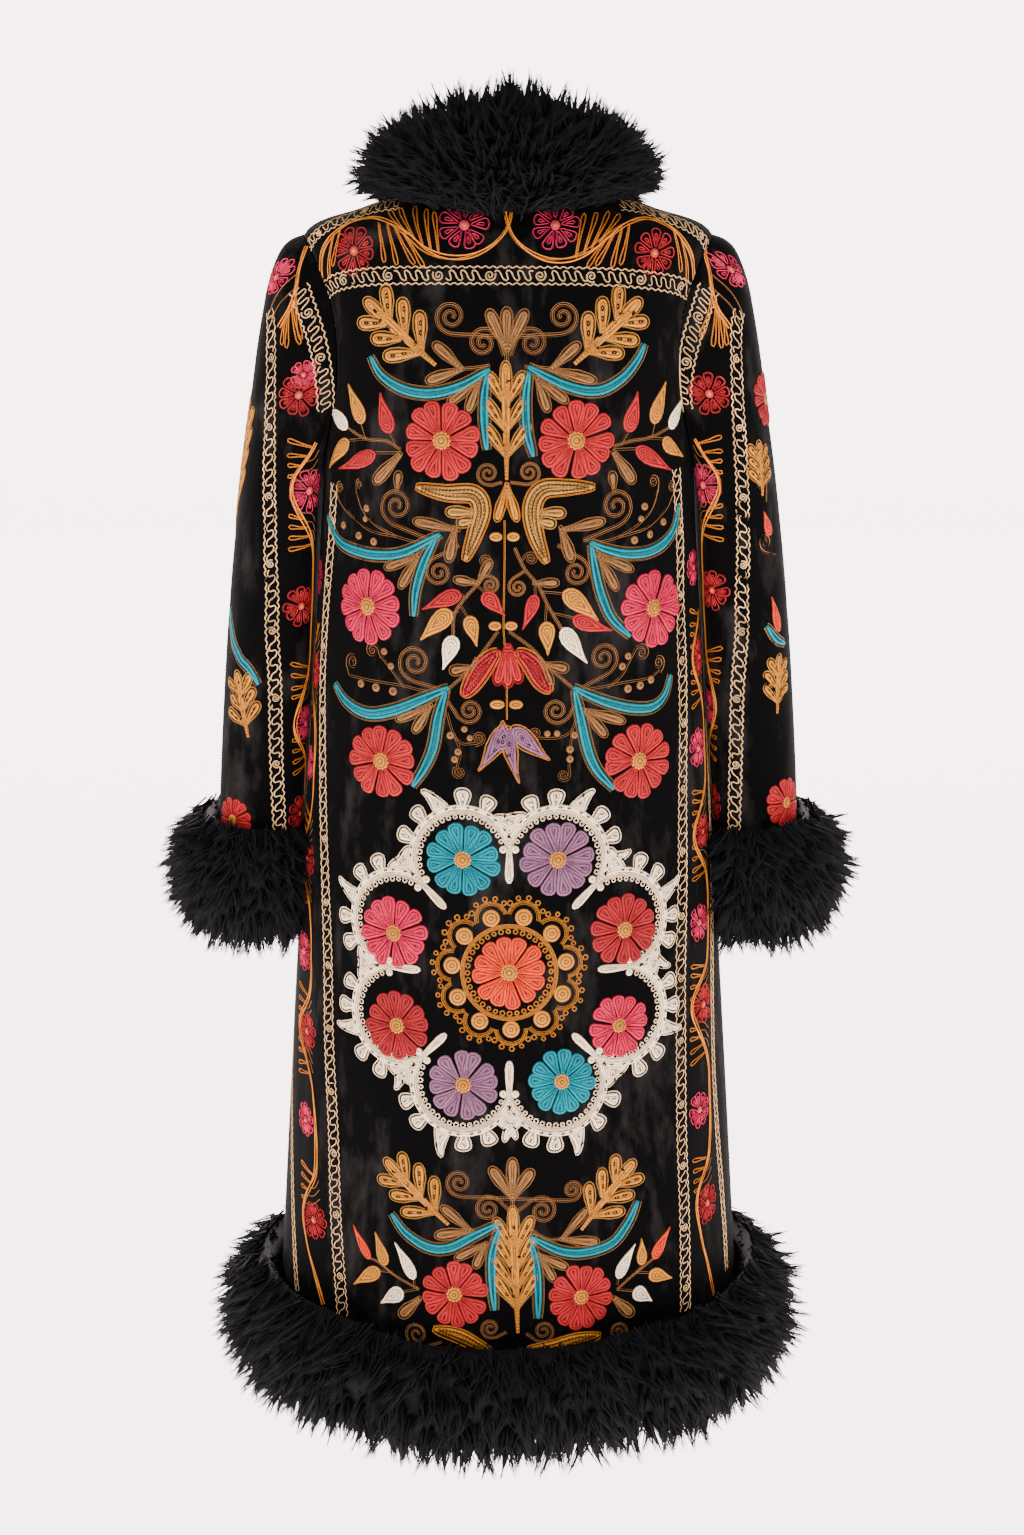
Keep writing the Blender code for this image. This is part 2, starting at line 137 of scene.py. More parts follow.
def armhole_edge(level, reach):
    """How far the armhole reaches round from the side line at a level of the body."""
    share = (level - ARMPIT) / (SHOULDER - ARMPIT)
    return reach * 2 * np.sqrt(np.clip(share * (1 - share), 0, None))


def together(first, second):
    return np.broadcast_arrays(np.asarray(first, float), np.asarray(second, float))


def body_point(angle, level):
    """A point of the outer face. angle is 0 at the wearer's left side and 90 degrees at the
    middle of the back, and level counts the sections up from the hem."""
    angle, level = together(angle, level)
    row = dict(zip(BODY_COLUMNS, np.moveaxis(between_rows(BODY_SECTIONS, level), -1, 0)))
    across, deep = np.cos(angle), np.sin(angle)
    at_back = deep >= 0
    depth = np.where(at_back, row["back_y"], row["front_y"])
    power = row["squareness"]
    round_it = (np.abs(across) / row["side_x"]) ** power + (np.abs(deep) / depth) ** power
    out = round_it ** (-1 / power)
    middle_z = np.where(at_back, row["back_z"], row["front_z"])
    height = row["side_z"] * across**2 + middle_z * deep**2
    for place, spread, start, dip in SKIRT_FLUTES:
        turn = (angle - math.radians(place) + math.pi) % (2 * math.pi) - math.pi
        drop = ease((start - height) / (start - BODY_SECTIONS[0, 0]))
        out = out + dip * drop * np.exp(-((turn / math.radians(spread)) ** 2))
    from_side = np.abs(np.arctan2(deep, np.abs(across)))
    reach = np.where(at_back, ARMHOLE_BACK, ARMHOLE_FRONT)
    edge = armhole_edge(level, reach)
    near = (from_side - edge) * out / SEAM_DIP_WIDTH
    out = out - SEAM_DIP * (edge / reach) * np.exp(-(near**2))
    turned = (angle + math.pi / 2) % (2 * math.pi) - math.pi / 2
    out = out + creased(BODY_CREASES, turned * BODY_RADIUS, height)
    return np.stack([out * across, out * deep, height], axis=-1)


def face_of(point, last, handed):
    """A function that gives a surface's points with their outward normals."""
    nudge = 1e-4

    def face(turn, place):
        turn, place = together(turn, place)
        low, high = np.clip(place - nudge, 0, last), np.clip(place + nudge, 0, last)
        round_it = point(turn + nudge, place) - point(turn - nudge, place)
        along_it = point(turn, high) - point(turn, low)
        return point(turn, place), unit(np.cross(round_it, along_it)) * handed

    return face


body_face = face_of(body_point, NECK, 1)


def mesh_object(name, points, faces, finish=None, edges=()):
    mesh = bpy.data.meshes.new(name)
    mesh.from_pydata(np.asarray(points).reshape(-1, 3).tolist(), edges, faces)
    if faces:
        mesh.shade_smooth()
    if finish is not None:
        mesh.materials.append(finish)
    made = bpy.data.objects.new(name, mesh)
    bpy.context.scene.collection.objects.link(made)
    return made


def grid_faces(wide, high, closed_wide=False, closed_high=False):
    return [
        [
            i * high + j,
            (i + 1) % wide * high + j,
            (i + 1) % wide * high + (j + 1) % high,
            i * high + (j + 1) % high,
        ]
        for i in range(wide if closed_wide else wide - 1)
        for j in range(high if closed_high else high - 1)
    ]


def give(mesh, name, kind, values):
    """Stores a value for every point, for the materials and the growing of fur."""
    slot = {"FLOAT": "value", "FLOAT_VECTOR": "vector", "FLOAT_COLOR": "color"}[kind]
    values = np.asarray(values, np.float32).ravel()
    mesh.attributes.new(name, kind, "POINT").data.foreach_set(slot, values)


def plain(made):
    """The object with its modifiers made part of its mesh."""
    seen = made.evaluated_get(bpy.context.evaluated_depsgraph_get())
    mesh = bpy.data.meshes.new_from_object(seen)
    made.modifiers.clear()
    made.data = mesh
    return made


def velvet_panel(name, outer, closed_round=False):
    """A panel of velvet from a grid of points on its outer face, with its wall inside."""
    faces = grid_faces(*outer.shape[:2], closed_wide=closed_round)
    made = mesh_object(name, outer, faces, velvet)
    wall = made.modifiers.new("wall", "SOLIDIFY")
    wall.thickness, wall.offset, wall.use_quality_normals = CLOTH_WALL, -1.0, True
    return plain(made)


class Value:
    """One number of a shader, which Python's operators work on."""

    def __init__(self, tree, socket):
        self.tree, self.socket = tree, socket

    def _with(self, operation, first, second, clamp=False):
        node = self.tree.nodes.new("ShaderNodeMath")
        node.operation, node.use_clamp = operation, clamp
        for socket, value in zip(node.inputs, (first, second)):
            if isinstance(value, Value):
                self.tree.links.new(value.socket, socket)
            else:
                socket.default_value = value
        return Value(self.tree, node.outputs[0])

    def __add__(self, other):
        return self._with("ADD", self, other)

    def __sub__(self, other):
        return self._with("SUBTRACT", self, other)

    def __rsub__(self, other):
        return self._with("SUBTRACT", other, self)

    def __mul__(self, other):
        return self._with("MULTIPLY", self, other)

    def __pow__(self, other):
        return self._with("POWER", self, other)

    __radd__, __rmul__ = __add__, __mul__

    def clamped(self):
        return self._with("ADD", self, 0.0, clamp=True)

    def sine(self):
        return self._with("SINE", self, 0.0)

    def size(self):
        return self._with("ABSOLUTE", self, 0.0)


class Nodes:
    """A tree whose nodes are added one by one. i0 is a node's first input, and any other
    is named with lines for its spaces."""

    def set(self, node, inputs):
        for name, value in inputs.items():
            socket = node.inputs[int(name[1:]) if name[1:].isdigit() else name.replace("_", " ")]
            for one in value if isinstance(value, list) else [value]:
                one = one.socket if isinstance(one, Value) else one
                if isinstance(one, bpy.types.NodeSocket):
                    self.tree.links.new(one, socket)
                else:
                    socket.default_value = one

    def added(self, kind, settings, output, inputs):
        """An output of a new node, with its settings made first, then its inputs."""
        made = self.tree.nodes.new(kind)
        for name, value in dict(settings).items():
            setattr(made, name, value)
        self.set(made, inputs)
        return made.outputs[output]


class Finish(Nodes):
    """A material and its shader."""

    def __init__(self, name, **constants):
        self.material = bpy.data.materials.new(name)
        self.material.use_nodes = True
        self.tree = self.material.node_tree
        self.shader = self.tree.nodes["Principled BSDF"]
        self.set(self.shader, constants)

    def node(self, kind, settings=(), output=0, **inputs):
        return Value(self.tree, self.added("ShaderNode" + kind, settings, output, inputs))

    def mix(self, share, first, second, blend="MIX"):
        settings = {"data_type": "RGBA", "blend_type": blend}
        return self.node("Mix", settings, 2, i0=share, i6=first, i7=second)

    def noise(self, where, scale, detail=2.0, roughness=0.5):
        return self.node(
            "TexNoise", Vector=where, Scale=scale, Detail=detail, Roughness=roughness
        )


def thread_colour(code):
    """A colour written as a hex code, made linear."""
    parts = [int(code[i : i + 2], 16) / 255 for i in (0, 2, 4)]
    return (*(((p + 0.055) / 1.055) ** 2.4 if p > 0.04 else p / 12.92 for p in parts), 1.0)


# Crushed velvet: near black where the pile stands, and greyer in patches where it has been
# brushed flat. The grey of those patches is painted sheen in the base colour, and they are also a
# little smoother.
pile = Finish("black_velvet", Sheen_Weight=0.02, Sheen_Roughness=0.45, Specular_IOR_Level=0.04)
pile.set(pile.shader, {"Sheen Tint": (0.62, 0.58, 0.60, 1.0)})
where = pile.node("TexCoord", output=3)
drawn = pile.node("Mapping", Vector=where, Scale=(1.0, 1.0, 0.42))
patches = pile.noise(drawn, 17.0, 4.0, 0.62)
small = pile.noise(drawn, 70.0, 3.0, 0.6)
flat_pile_sheen = ((patches + 0.55 * small - 0.80) * 4.5).clamped()
nap = pile.noise(where, 1500.0, 2.0, 0.6)
# painted sheen: the base colour turns grey where the pile is brushed flat
cloth_colour = pile.mix(flat_pile_sheen, thread_colour("030303"), thread_colour("242121"))
cloth_colour = pile.mix(nap * 0.4, cloth_colour, thread_colour("060606"))
pile.set(pile.shader, {"Base Color": cloth_colour, "Roughness": 0.92 - 0.22 * flat_pile_sheen})
lie = pile.node("Bump", Strength=0.35, Distance=0.0006, Height=nap + 1.6 * small + 1.2 * patches)
pile.set(pile.shader, {"Normal": lie})
velvet = pile.material


def body_rows(skirt, armhole, shoulder):
    swing = np.linspace(0, math.pi, armhole, endpoint=False)
    return np.concatenate(
        [
            np.linspace(0, ARMPIT, skirt, endpoint=False),
            ARMPIT + (SHOULDER - ARMPIT) * (1 - np.cos(swing)) / 2,
            np.linspace(SHOULDER, NECK, shoulder),
        ]
    )


def seam_angle(distance, angle, level):
    """The turn round the body that makes a distance on its face."""
    return distance / np.linalg.norm(body_point(angle, level)[..., :2], axis=-1)


levels = body_rows(68, 34, 18)
back_edge = armhole_edge(levels, ARMHOLE_BACK)
share = np.linspace(0, 1, 101)[:, None]
back_angles = back_edge + (math.pi - 2 * back_edge) * share
coat_back = velvet_panel("coat_back", body_point(back_angles, levels[None, :]))
front_edge = armhole_edge(levels, ARMHOLE_FRONT)
front_middle = math.pi / 2 - seam_angle(FRONT_OPENING / 2, -math.pi / 2, levels)
share = np.linspace(0, 1, 51)[:, None]
front_angles = {
    "left": -(front_middle + (front_edge - front_middle) * share),
    "right": math.pi + front_edge + (front_middle - front_edge) * share,
}
coat_fronts = {
    side: velvet_panel(f"coat_front_{side}", body_point(angles, levels[None, :]))
    for side, angles in front_angles.items()
}
for made, node, flat, area in (
    (coat_back, "back", (0.62, 1.10), 0.52),
    (coat_fronts["left"], "front_left", (0.33, 1.05), 0.26),
    (coat_fronts["right"], "front_right", (0.33, 1.05), 0.26),
):
    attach(made, "root")
    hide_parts(node)

# ---------------------------------------------------------------------------------------
# The sleeves: one piece of velvet each, closed by a seam under the arm and set into the
# armhole. They hang down the body's sides, with creases where the arm would bend.
SLEEVE_COLUMNS = "outer_x outer_z inner_x inner_z depth middle_y".split()
SLEEVE_SECTIONS = np.array(
    [
        (0.1900, -0.0240, 0.1755, -0.2350, 0.0700, 0.000),
        (0.2025, -0.0290, 0.1764, -0.2430, 0.0705, 0.000),
        (0.2130, -0.0400, 0.1774, -0.2520, 0.0710, 0.000),
        (0.2240, -0.0680, 0.1786, -0.2640, 0.0712, -0.001),
        (0.2345, -0.1190, 0.1797, -0.2820, 0.0715, -0.002),
        (0.2440, -0.1850, 0.1813, -0.3080, 0.0715, -0.003),
        (0.2545, -0.2590, 0.1835, -0.3460, 0.0710, -0.005),
        (0.2670, -0.3710, 0.1878, -0.4190, 0.0695, -0.008),
        (0.2765, -0.4920, 0.1944, -0.5160, 0.0675, -0.012),
        (0.2830, -0.6050, 0.2036, -0.6130, 0.0660, -0.015),
    ]
)
WRIST, CAP_BLEND, SLEEVE_SQUARENESS, SLEEVE_WRAP = 9, 3.0, 2.25, 0.018
# as on the body; across is degrees on a circle of the body's radius
SLEEVE_CREASES = [
    ((20, 120), (9, 230), 7, -1.5), ((27, 150), (17, 270), 7, 1.3),
    ((34, 250), (12, 330), 7, -1.8), ((30, 330), (6, 380), 7, -2.0),
    ((33, 355), (12, 410), 7, 1.6), ((28, 420), (8, 470), 7, -1.6), ((3, 90), (1, 220), 7, -1.2),
    ((-12, 300), (2, 370), 8, -1.6), ((-30, 330), (-8, 390), 8, 1.6),
    ((-28, 200), (-14, 290), 8, -1.7), ((12, 480), (20, 560), 8, 1.2),
    ((-10, 470), (-22, 560), 8, -1.2),
]


def armhole_point(turn):
    """The armhole's seam on the wearer's left: turn is 0 at the shoulder point, 90 degrees
    at the back and 180 at the armpit."""
    level = ARMPIT + (SHOULDER - ARMPIT) * (1 + np.cos(turn)) / 2
    reach = np.where(np.sin(turn) >= 0, ARMHOLE_BACK, ARMHOLE_FRONT)
    return body_point(reach * np.sin(turn), level)


def sleeve_point(turn, station):
    """A point of the left sleeve's outer face: turn goes round it as at the armhole, and
    station counts its sections down from there."""
    turn, station = together(turn, station)
    row = dict(zip(SLEEVE_COLUMNS, np.moveaxis(between_rows(SLEEVE_SECTIONS, station), -1, 0)))
    outer_x, outer_z, inner_x, inner_z = SLEEVE_SECTIONS[0, :4]
    above, beside = np.cos(turn), np.sin(turn)
    size = (
        np.abs(above) ** SLEEVE_SQUARENESS + np.abs(beside) ** SLEEVE_SQUARENESS
    ) ** (-1 / SLEEVE_SQUARENESS)
    up_share = (1 + above * size) / 2
    height = row["inner_z"] + (row["outer_z"] - row["inner_z"]) * up_share
    turned = (turn + math.pi) % (2 * math.pi) - math.pi
    rise = creased(SLEEVE_CREASES, turned * SLEEVE_RADIUS, height)
    wide = row["inner_x"] + (row["outer_x"] - row["inner_x"]) * up_share
    wide = wide - SLEEVE_WRAP * (beside * size) ** 2 * (1 - up_share) + rise * above
    tube = np.stack(
        [wide, row["middle_y"] + (row["depth"] + rise) * beside * size, height], -1
    )
    share = (1 + above) / 2
    moved = np.stack(
        [
            SEAM + (row["outer_x"] - outer_x) * share + (row["inner_x"] - inner_x) * (1 - share),
            np.zeros_like(turn),
            (row["outer_z"] - outer_z) * share + (row["inner_z"] - inner_z) * (1 - share),
        ],
        axis=-1,
    )
    blend = ease(station / CAP_BLEND)[..., None]
    return (armhole_point(turn) + moved) * (1 - blend) + tube * blend


sleeve_face = face_of(sleeve_point, WRIST, -1)
SIDES = {"left": np.array([1.0, 1.0, 1.0]), "right": np.array([-1.0, 1.0, 1.0])}
stations = np.concatenate(
    [np.linspace(0, CAP_BLEND + 2, 34, endpoint=False), np.linspace(CAP_BLEND + 2, WRIST, 44)]
)
for side, mirror in SIDES.items():
    turns = -mirror[0] * np.arange(72)[:, None] * 2 * math.pi / 72
    sleeve = velvet_panel(
        f"coat_sleeve_{side}", sleeve_point(turns, stations[None, :]) * mirror, True
    )
    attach(sleeve, "root")
    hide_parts(f"sleeve_{side}")

# ---------------------------------------------------------------------------------------
# The embroidery: chain stitch worked by hand in silk, after suzani work. Outlines, stems
# and borders are single rows of chain; petals, buds and leaves are filled with rows laid
# inside each other. Places are in mm across from a panel's own line and down.
THREADS = {
    name: np.array(thread_colour(code))
    for name, code in {
        "coral": "a02024", "pink": "b3173c", "red": "8f1e23", "darkred": "a8262c",
        "wine": "c42c50", "orange": "c43418", "turquoise": "00737f", "mauve": "79526a",
        "gold": "b87526", "tan": "a37536", "brown": "805832", "cream": "f8deba",
        "border": "dfb985", "vine": "c97a26", "black": "050505",
    }.items()
}
# half outlines: (share of the way from the root to the end, share of the half width there)
ROUND = [
    (0, 0.1), (0.2, 0.32), (0.42, 0.58), (0.62, 0.82), (0.76, 0.97), (0.88, 0.92), (0.96, 0.6),
]
CLUB = [(0, 0.34), (0.3, 0.62), (0.6, 0.92), (0.8, 1.0), (0.92, 0.82), (0.985, 0.42)]
DROP = [
    (0, 0.1), (0.05, 0.56), (0.15, 0.88), (0.3, 1.0), (0.48, 0.86), (0.66, 0.56), (0.83, 0.28),
    (0.96, 0.12),
]
OVAL = [(0, 0.3), (0.12, 0.72), (0.3, 0.95), (0.5, 1.0), (0.72, 0.9), (0.9, 0.6)]
HORN = [(0, 0.9), (0.2, 1.0), (0.45, 0.72), (0.7, 0.46), (0.9, 0.36), (0.98, 0.2)]
PIN = [(0, 0.25), (0.5, 0.5), (0.85, 1.0), (0.97, 0.7)]


class Chart:
    """A panel's flat pattern: places in mm across, along the cloth at one height from the
    panel's zero line, and down. hand turns the pattern over."""

    COLUMNS = 400

    def __init__(self, face, turns, last, zero, mirror=(1, 1, 1), hand=1):
        places = np.linspace(0, last, 700)
        heights = face(turns[:, None], places[None, :])[0][..., 2]
        self.down = np.arange(-heights.max(), -heights.min(), 0.004)
        place = np.empty((len(turns), len(self.down)))
        for column, rise in enumerate(heights):
            order = np.argsort(rise)
            place[column] = np.interp(-self.down, rise[order], places[order])
        rows = face(turns[:, None], place)[0]
        arcs = np.cumsum(np.linalg.norm(np.diff(rows, axis=0), axis=2), axis=0)
        arcs = np.concatenate([np.zeros((1, len(self.down))), arcs])
        arcs = arcs - arcs[np.argmin(np.abs(turns - zero))]
        self.ends = arcs[0], arcs[-1]
        self.across = np.linspace(arcs.min(), arcs.max(), self.COLUMNS)
        self.table = np.empty((self.COLUMNS, len(self.down), 2))
        for row in range(len(self.down)):
            self.table[:, row, 0] = np.interp(self.across, arcs[:, row], turns)
            self.table[:, row, 1] = np.interp(self.across, arcs[:, row], place[:, row])
        self.face, self.mirror, self.hand = face, np.array(mirror, float), hand

    def __call__(self, places, lift):
        """(points, normals) for places in mm, lifted off the cloth by heights in mm."""
        across = np.interp(places[:, 0] * MM, self.across, np.arange(self.COLUMNS))
        down = np.interp(places[:, 1] * MM, self.down, np.arange(len(self.down)))
        i = np.minimum(across.astype(int), self.COLUMNS - 2)
        j = np.minimum(down.astype(int), len(self.down) - 2)
        u, v = (across - i)[:, None], (down - j)[:, None]
        t = self.table
        here = (t[i, j] * (1 - u) + t[i + 1, j] * u) * (1 - v)
        here = here + (t[i, j + 1] * (1 - u) + t[i + 1, j + 1] * u) * v
        points, normals = self.face(here[:, 0], here[:, 1])
        return (points + normals * lift[:, None] * MM) * self.mirror, normals * self.mirror

    def inside(self, places, margin):
        """Which places lie on the panel."""
        across, down = places[:, 0], places[:, 1] * MM
        low = np.interp(down, self.down, self.ends[0]) * 1000 + margin
        high = np.interp(down, self.down, self.ends[1]) * 1000 - margin
        top, foot = self.down[0] + MM * margin, self.down[-1] - MM * margin
        return (across > low) & (across < high) & (down > top) & (down < foot)


def run_of(points):
    """The length along a polyline at each of its points."""
    return np.concatenate([[0], np.cumsum(np.linalg.norm(np.diff(points, axis=0), axis=1))])


def even(points, step=2.6, closed=False):
    """Places along a polyline at even steps."""
    points = np.asarray(points, float)
    if closed:
        points = np.concatenate([points, points[:1]])
    length = run_of(points)
    count = max(3 if closed else 2, int(round(length[-1] / step)) + 1)
    at = np.linspace(0, length[-1], count)
    places = np.stack([np.interp(at, length, points[:, k]) for k in (0, 1)], 1)
    return places[:-1] if closed else places


def smooth(points, step=2.6):
    """A smooth curve through the places, at even steps."""
    rows = np.asarray(points, float)
    return even(between_rows(rows, np.linspace(0, len(rows) - 1, len(rows) * 14)), step)


def sideways(points):
    """The direction to the side at each place of a curve."""
    way = np.gradient(points, axis=0)
    return unit(np.stack([-way[:, 1], way[:, 0]], 1) + 1e-9)


def ring(centre, radius, low=0.0, high=2 * math.pi, count=12):
    """Places round an arc."""
    turn = np.linspace(low, high, count, endpoint=high - low < 6.28)
    return np.asarray(centre, float) + radius * np.stack([np.cos(turn), np.sin(turn)], 1)


class Stitching:
    """The stitching on one panel, gathered row by row and then made one mesh."""

    def __init__(self, chart, seed):
        self.chart, self.lines, self.fills = chart, [], []
        self.hand = np.random.default_rng(seed)

    def shade(self, thread, spread):
        """The thread's colour, a little lighter or darker from one length to the next."""
        colour = THREADS[thread] * (1 + self.hand.normal(0, spread))
        return np.clip([*colour[:3], 1.0], 0, 1)

    def row(self, points, thread, wide=1.4, closed=False, lift=0.35):
        """One row of chain stitch along places in mm; what runs off the panel is left out."""
        points = np.asarray(points, float) * (self.chart.hand, 1)
        keep = self.chart.inside(points, 2.0)
        cuts = [] if keep.all() else np.flatnonzero(np.diff(keep.astype(int))) + 1
        colour = self.shade(thread, 0.08)
        for run in np.split(np.arange(len(points)), cuts):
            if len(run) > 2 and keep[run[0]]:
                whole = closed and len(run) == len(points)
                self.lines.append((points[run], colour, wide, whole, lift))

    def fill(self, outline, target, thread, high=1.1, rows=(0.0, 0.22, 0.6, 1.0), base=0.05):
        """A shape filled with rows inside each other, from its outline to the places of
        target, which hold one place for each of the outline's."""
        outline, target = (np.asarray(x, float) * (self.chart.hand, 1) for x in (outline, target))
        target = np.broadcast_to(target, outline.shape)
        if not self.chart.inside(outline, 1.0).all():
            return
        ahead = np.roll(outline, -1, 0)
        if np.sum(outline[:, 0] * ahead[:, 1] - outline[:, 1] * ahead[:, 0]) < 0:
            outline, target = outline[::-1], target[::-1]
        rings = [outline * (1 - t) + target * t for t in rows]
        lifts = [high * {0.0: base, 1.0: 0.9}.get(t, min(1.0, 0.62 + t)) for t in rows]
        depth = [np.linalg.norm(target - outline, axis=1) * t for t in rows]
        colour = self.shade(thread, 0.05)
        self.fills.append((rings, lifts, depth, run_of(outline), colour))

    def make(self, name):
        """The stitching as one mesh that rides on the coat."""
        parts = [self.rows_mesh(), self.fills_mesh()]
        with bpy.context.temp_override(
            active_object=parts[0], selected_editable_objects=parts, selected_objects=parts
        ):
            bpy.ops.object.join()
        whole = parts[0]
        whole.name = name
        whole.data.materials.clear()
        whole.data.materials.append(silk)
        whole.data.shade_smooth()
        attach(whole, "root")

    def fills_mesh(self):
        """All fills, each a low mound of rings from its outline inwards."""
        fills, lifts, depths, runs, colours = zip(*self.fills)
        counts = [len(rings[0]) for rings in fills]
        places = np.concatenate([np.concatenate(rings) for rings in fills])
        lifts = np.concatenate([np.repeat(lift, count) for lift, count in zip(lifts, counts)])
        points, normals = self.chart(places, lifts)
        faces, first = [], 0
        for rings, count in zip(fills, counts):
            a = np.arange(count * (len(rings) - 1))
            b = a + 1 - count * (a % count == count - 1)
            faces.append(np.stack([a, b, b + count, a + count], 1) + first)
            first += count * len(rings)
        faces = np.concatenate(faces)
        a, b, c = (points[faces[:, k]] for k in (0, 1, 2))
        if np.mean(np.einsum("ij,ij->i", np.cross(b - a, c - a), normals[faces[:, 0]]) > 0) < 0.5:
            faces = faces[:, ::-1]
        made = mesh_object("fills", points, faces.tolist())
        sizes = [len(rings) * count for rings, count in zip(fills, counts)]
        give(made.data, "thread", "FLOAT_COLOR", np.repeat(colours, sizes, axis=0))
        depths = [np.concatenate(depth) for depth in depths]
        give(made.data, "inset", "FLOAT", np.concatenate(depths))
        runs = [np.tile(run, len(rings)) for run, rings in zip(runs, fills)]
        give(made.data, "run", "FLOAT", np.concatenate(runs))
        return made

    def rows_mesh(self):
        """All single rows, swept into low ridged ribbons."""
        lines, colours, widths, closings, lifts = zip(*self.lines)
        counts = [len(line) for line in lines]
        points, normals = self.chart(np.concatenate(lines), np.repeat(lifts, counts))
        ways, edges, runs, first = [], [], [], 0
        for line, closed, count in zip(lines, closings, counts):
            here = points[first : first + count]
            round_it = np.roll(here, -1, 0) - np.roll(here, 1, 0)
            ways.append(round_it if closed else np.gradient(here, axis=0))
            a = np.arange(count if closed else count - 1)
            edges.append(np.stack([first + a, first + (a + 1) % count], 1))
            runs.append(np.arange(count) * np.linalg.norm(line[1] - line[0]))
            first += count
        made = mesh_object("rows", points, [], edges=np.concatenate(edges).tolist())
        mesh = made.data
        give(mesh, "side", "FLOAT_VECTOR", unit(np.cross(np.concatenate(ways), normals)))
        give(mesh, "wide", "FLOAT", np.repeat(widths, counts) * MM)
        give(mesh, "run", "FLOAT", np.concatenate(runs))
        give(mesh, "inset", "FLOAT", np.full(len(points), -1.0))
        give(mesh, "thread", "FLOAT_COLOR", np.repeat(colours, counts, axis=0))
        made.modifiers.new("sweep", "NODES").node_group = sweep_rows
        return plain(made)


class Tree(Nodes):
    """A Geometry Nodes tree."""

    def __init__(self, name, inputs, output):
        self.tree = bpy.data.node_groups.new(name, "GeometryNodeTree")
        sockets = [(*given, "INPUT") for given in inputs] + [(output, "Geometry", None, "OUTPUT")]
        for socket, kind, value, way in sockets:
            made = self.tree.interface.new_socket(
                socket, in_out=way, socket_type="NodeSocket" + kind
            )
            if value is not None:
                made.default_value = value
        self.given = self.tree.nodes.new("NodeGroupInput").outputs

    def node(self, kind, settings=(), output=0, **inputs):
        return self.added(kind, settings, output, inputs)

    def named(self, name, kind="FLOAT"):
        return self.node("GeometryNodeInputNamedAttribute", {"data_type": kind}, Name=name)

    def finish(self, geometry, material):
        real = self.node("GeometryNodeRealizeInstances", Geometry=geometry)
        done = self.node("GeometryNodeSetMaterial", Geometry=real, Material=material)
        self.tree.links.new(done, self.tree.nodes.new("NodeGroupOutput").inputs[0])
        return self.tree


# Silk thread: its colour is the row's own, with painted shade that darkens it between the rows of
# a fill and between the links of the chain, and a soft gloss.
thread_work = Finish("silk_thread", Specular_IOR_Level=0.08)
run, inset, dye = (
    thread_work.node("Attribute", {"attribute_name": name}, output)
    for name, output in (("run", 2), ("inset", 2), ("thread", 0))
)
filled = (inset * 4.0 + 1.0).clamped()
ROW_WIDTH, LINK_LENGTH = 3.2, 2.8
ridges = (inset * (math.pi / ROW_WIDTH)).sine().size() ** 0.9
links_of_chain = (run * (math.pi / LINK_LENGTH) + inset * 1.5).sine().size()
where = thread_work.node("TexCoord", output=3)
worn = thread_work.noise(where, 260.0, 3.0, 0.6)
broad = thread_work.noise(where, 40.0, 2.0, 0.5)
relief = filled * (ridges * 0.9) + 0.30 * links_of_chain
# painted shade: darker in the grooves between the rows of a fill and between the links of the
# chain; the worn noise adds random tone
light = 1.36 - filled * (1.30 - 1.14 * ridges) + 0.42 * (links_of_chain - 0.5)
light = light + 0.80 * (worn - 0.5)
light = thread_work.node("CombineColor", Red=light, Green=light, Blue=light)
hue = thread_work.mix(1.0, dye, light, "MULTIPLY")
faded = thread_work.mix(((broad - 0.45) * 1.6).clamped() * 0.25, hue, thread_colour("2a211d"))
thread_work.set(thread_work.shader, {"Base Color": faded, "Roughness": 0.55 + 0.2 * worn})
raised = thread_work.node("Bump", Strength=0.8, Distance=0.0006, Height=relief + 0.25 * worn)
thread_work.set(thread_work.shader, {"Normal": raised})
silk = thread_work.material

rows_inputs = [("Rows", "Geometry", None), ("Height share", "Float", 0.62)]
rows_tree = Tree("chain_rows", rows_inputs, "Stitches")
add = rows_tree.node
line = add("GeometryNodeMeshToCurve", Mesh=rows_tree.given[0])
side = rows_tree.named("side", "FLOAT_VECTOR")
line = add("GeometryNodeSetCurveNormal", {"mode": "FREE"}, Curve=line, Normal=side)
across = add("GeometryNodeCurvePrimitiveLine", Start=(-0.5, 0.0, 0.0), End=(0.5, 0.0, 0.0))
across = add("GeometryNodeResampleCurve", Curve=across, Count=3)
number = add("GeometryNodeInputIndex")
same = {"data_type": "INT", "operation": "EQUAL"}
middle = add("FunctionNodeCompare", same, i2=number, i3=1)
ridge = add("ShaderNodeMath", {"operation": "MULTIPLY"}, i0=middle, i1=rows_tree.given[1])
ridge = add("ShaderNodeCombineXYZ", Y=ridge)
across = add("GeometryNodeSetPosition", Geometry=across, Offset=ridge)
wide = rows_tree.named("wide")
swept = add("GeometryNodeCurveToMesh", Curve=line, Profile_Curve=across, Scale=wide)
sweep_rows = rows_tree.finish(swept, silk)


def way_of(turn):
    return np.array([math.cos(turn), math.sin(turn)])


def quarter(way):
    """The way turned by a quarter."""
    return np.array([-way[1], way[0]])


def and_back(places):
    return np.concatenate([places, places[::-1]])


def shape(profile, base, tip, wide, bend=0.0):
    """A closed outline from its base to its tip; bend carries the tip to one side."""
    base, run = np.asarray(base, float), np.subtract(tip, base)
    x, y = np.array(profile + [(1.0, 0.0)] + [(x, -y) for x, y in profile[::-1]]).T
    side, half = quarter(run), y * wide / 2 / np.hypot(*run)
    return base + run * x[:, None] + side * (bend * x**2)[:, None] + side * half[:, None]


SPINE = (0.42, 0.82)


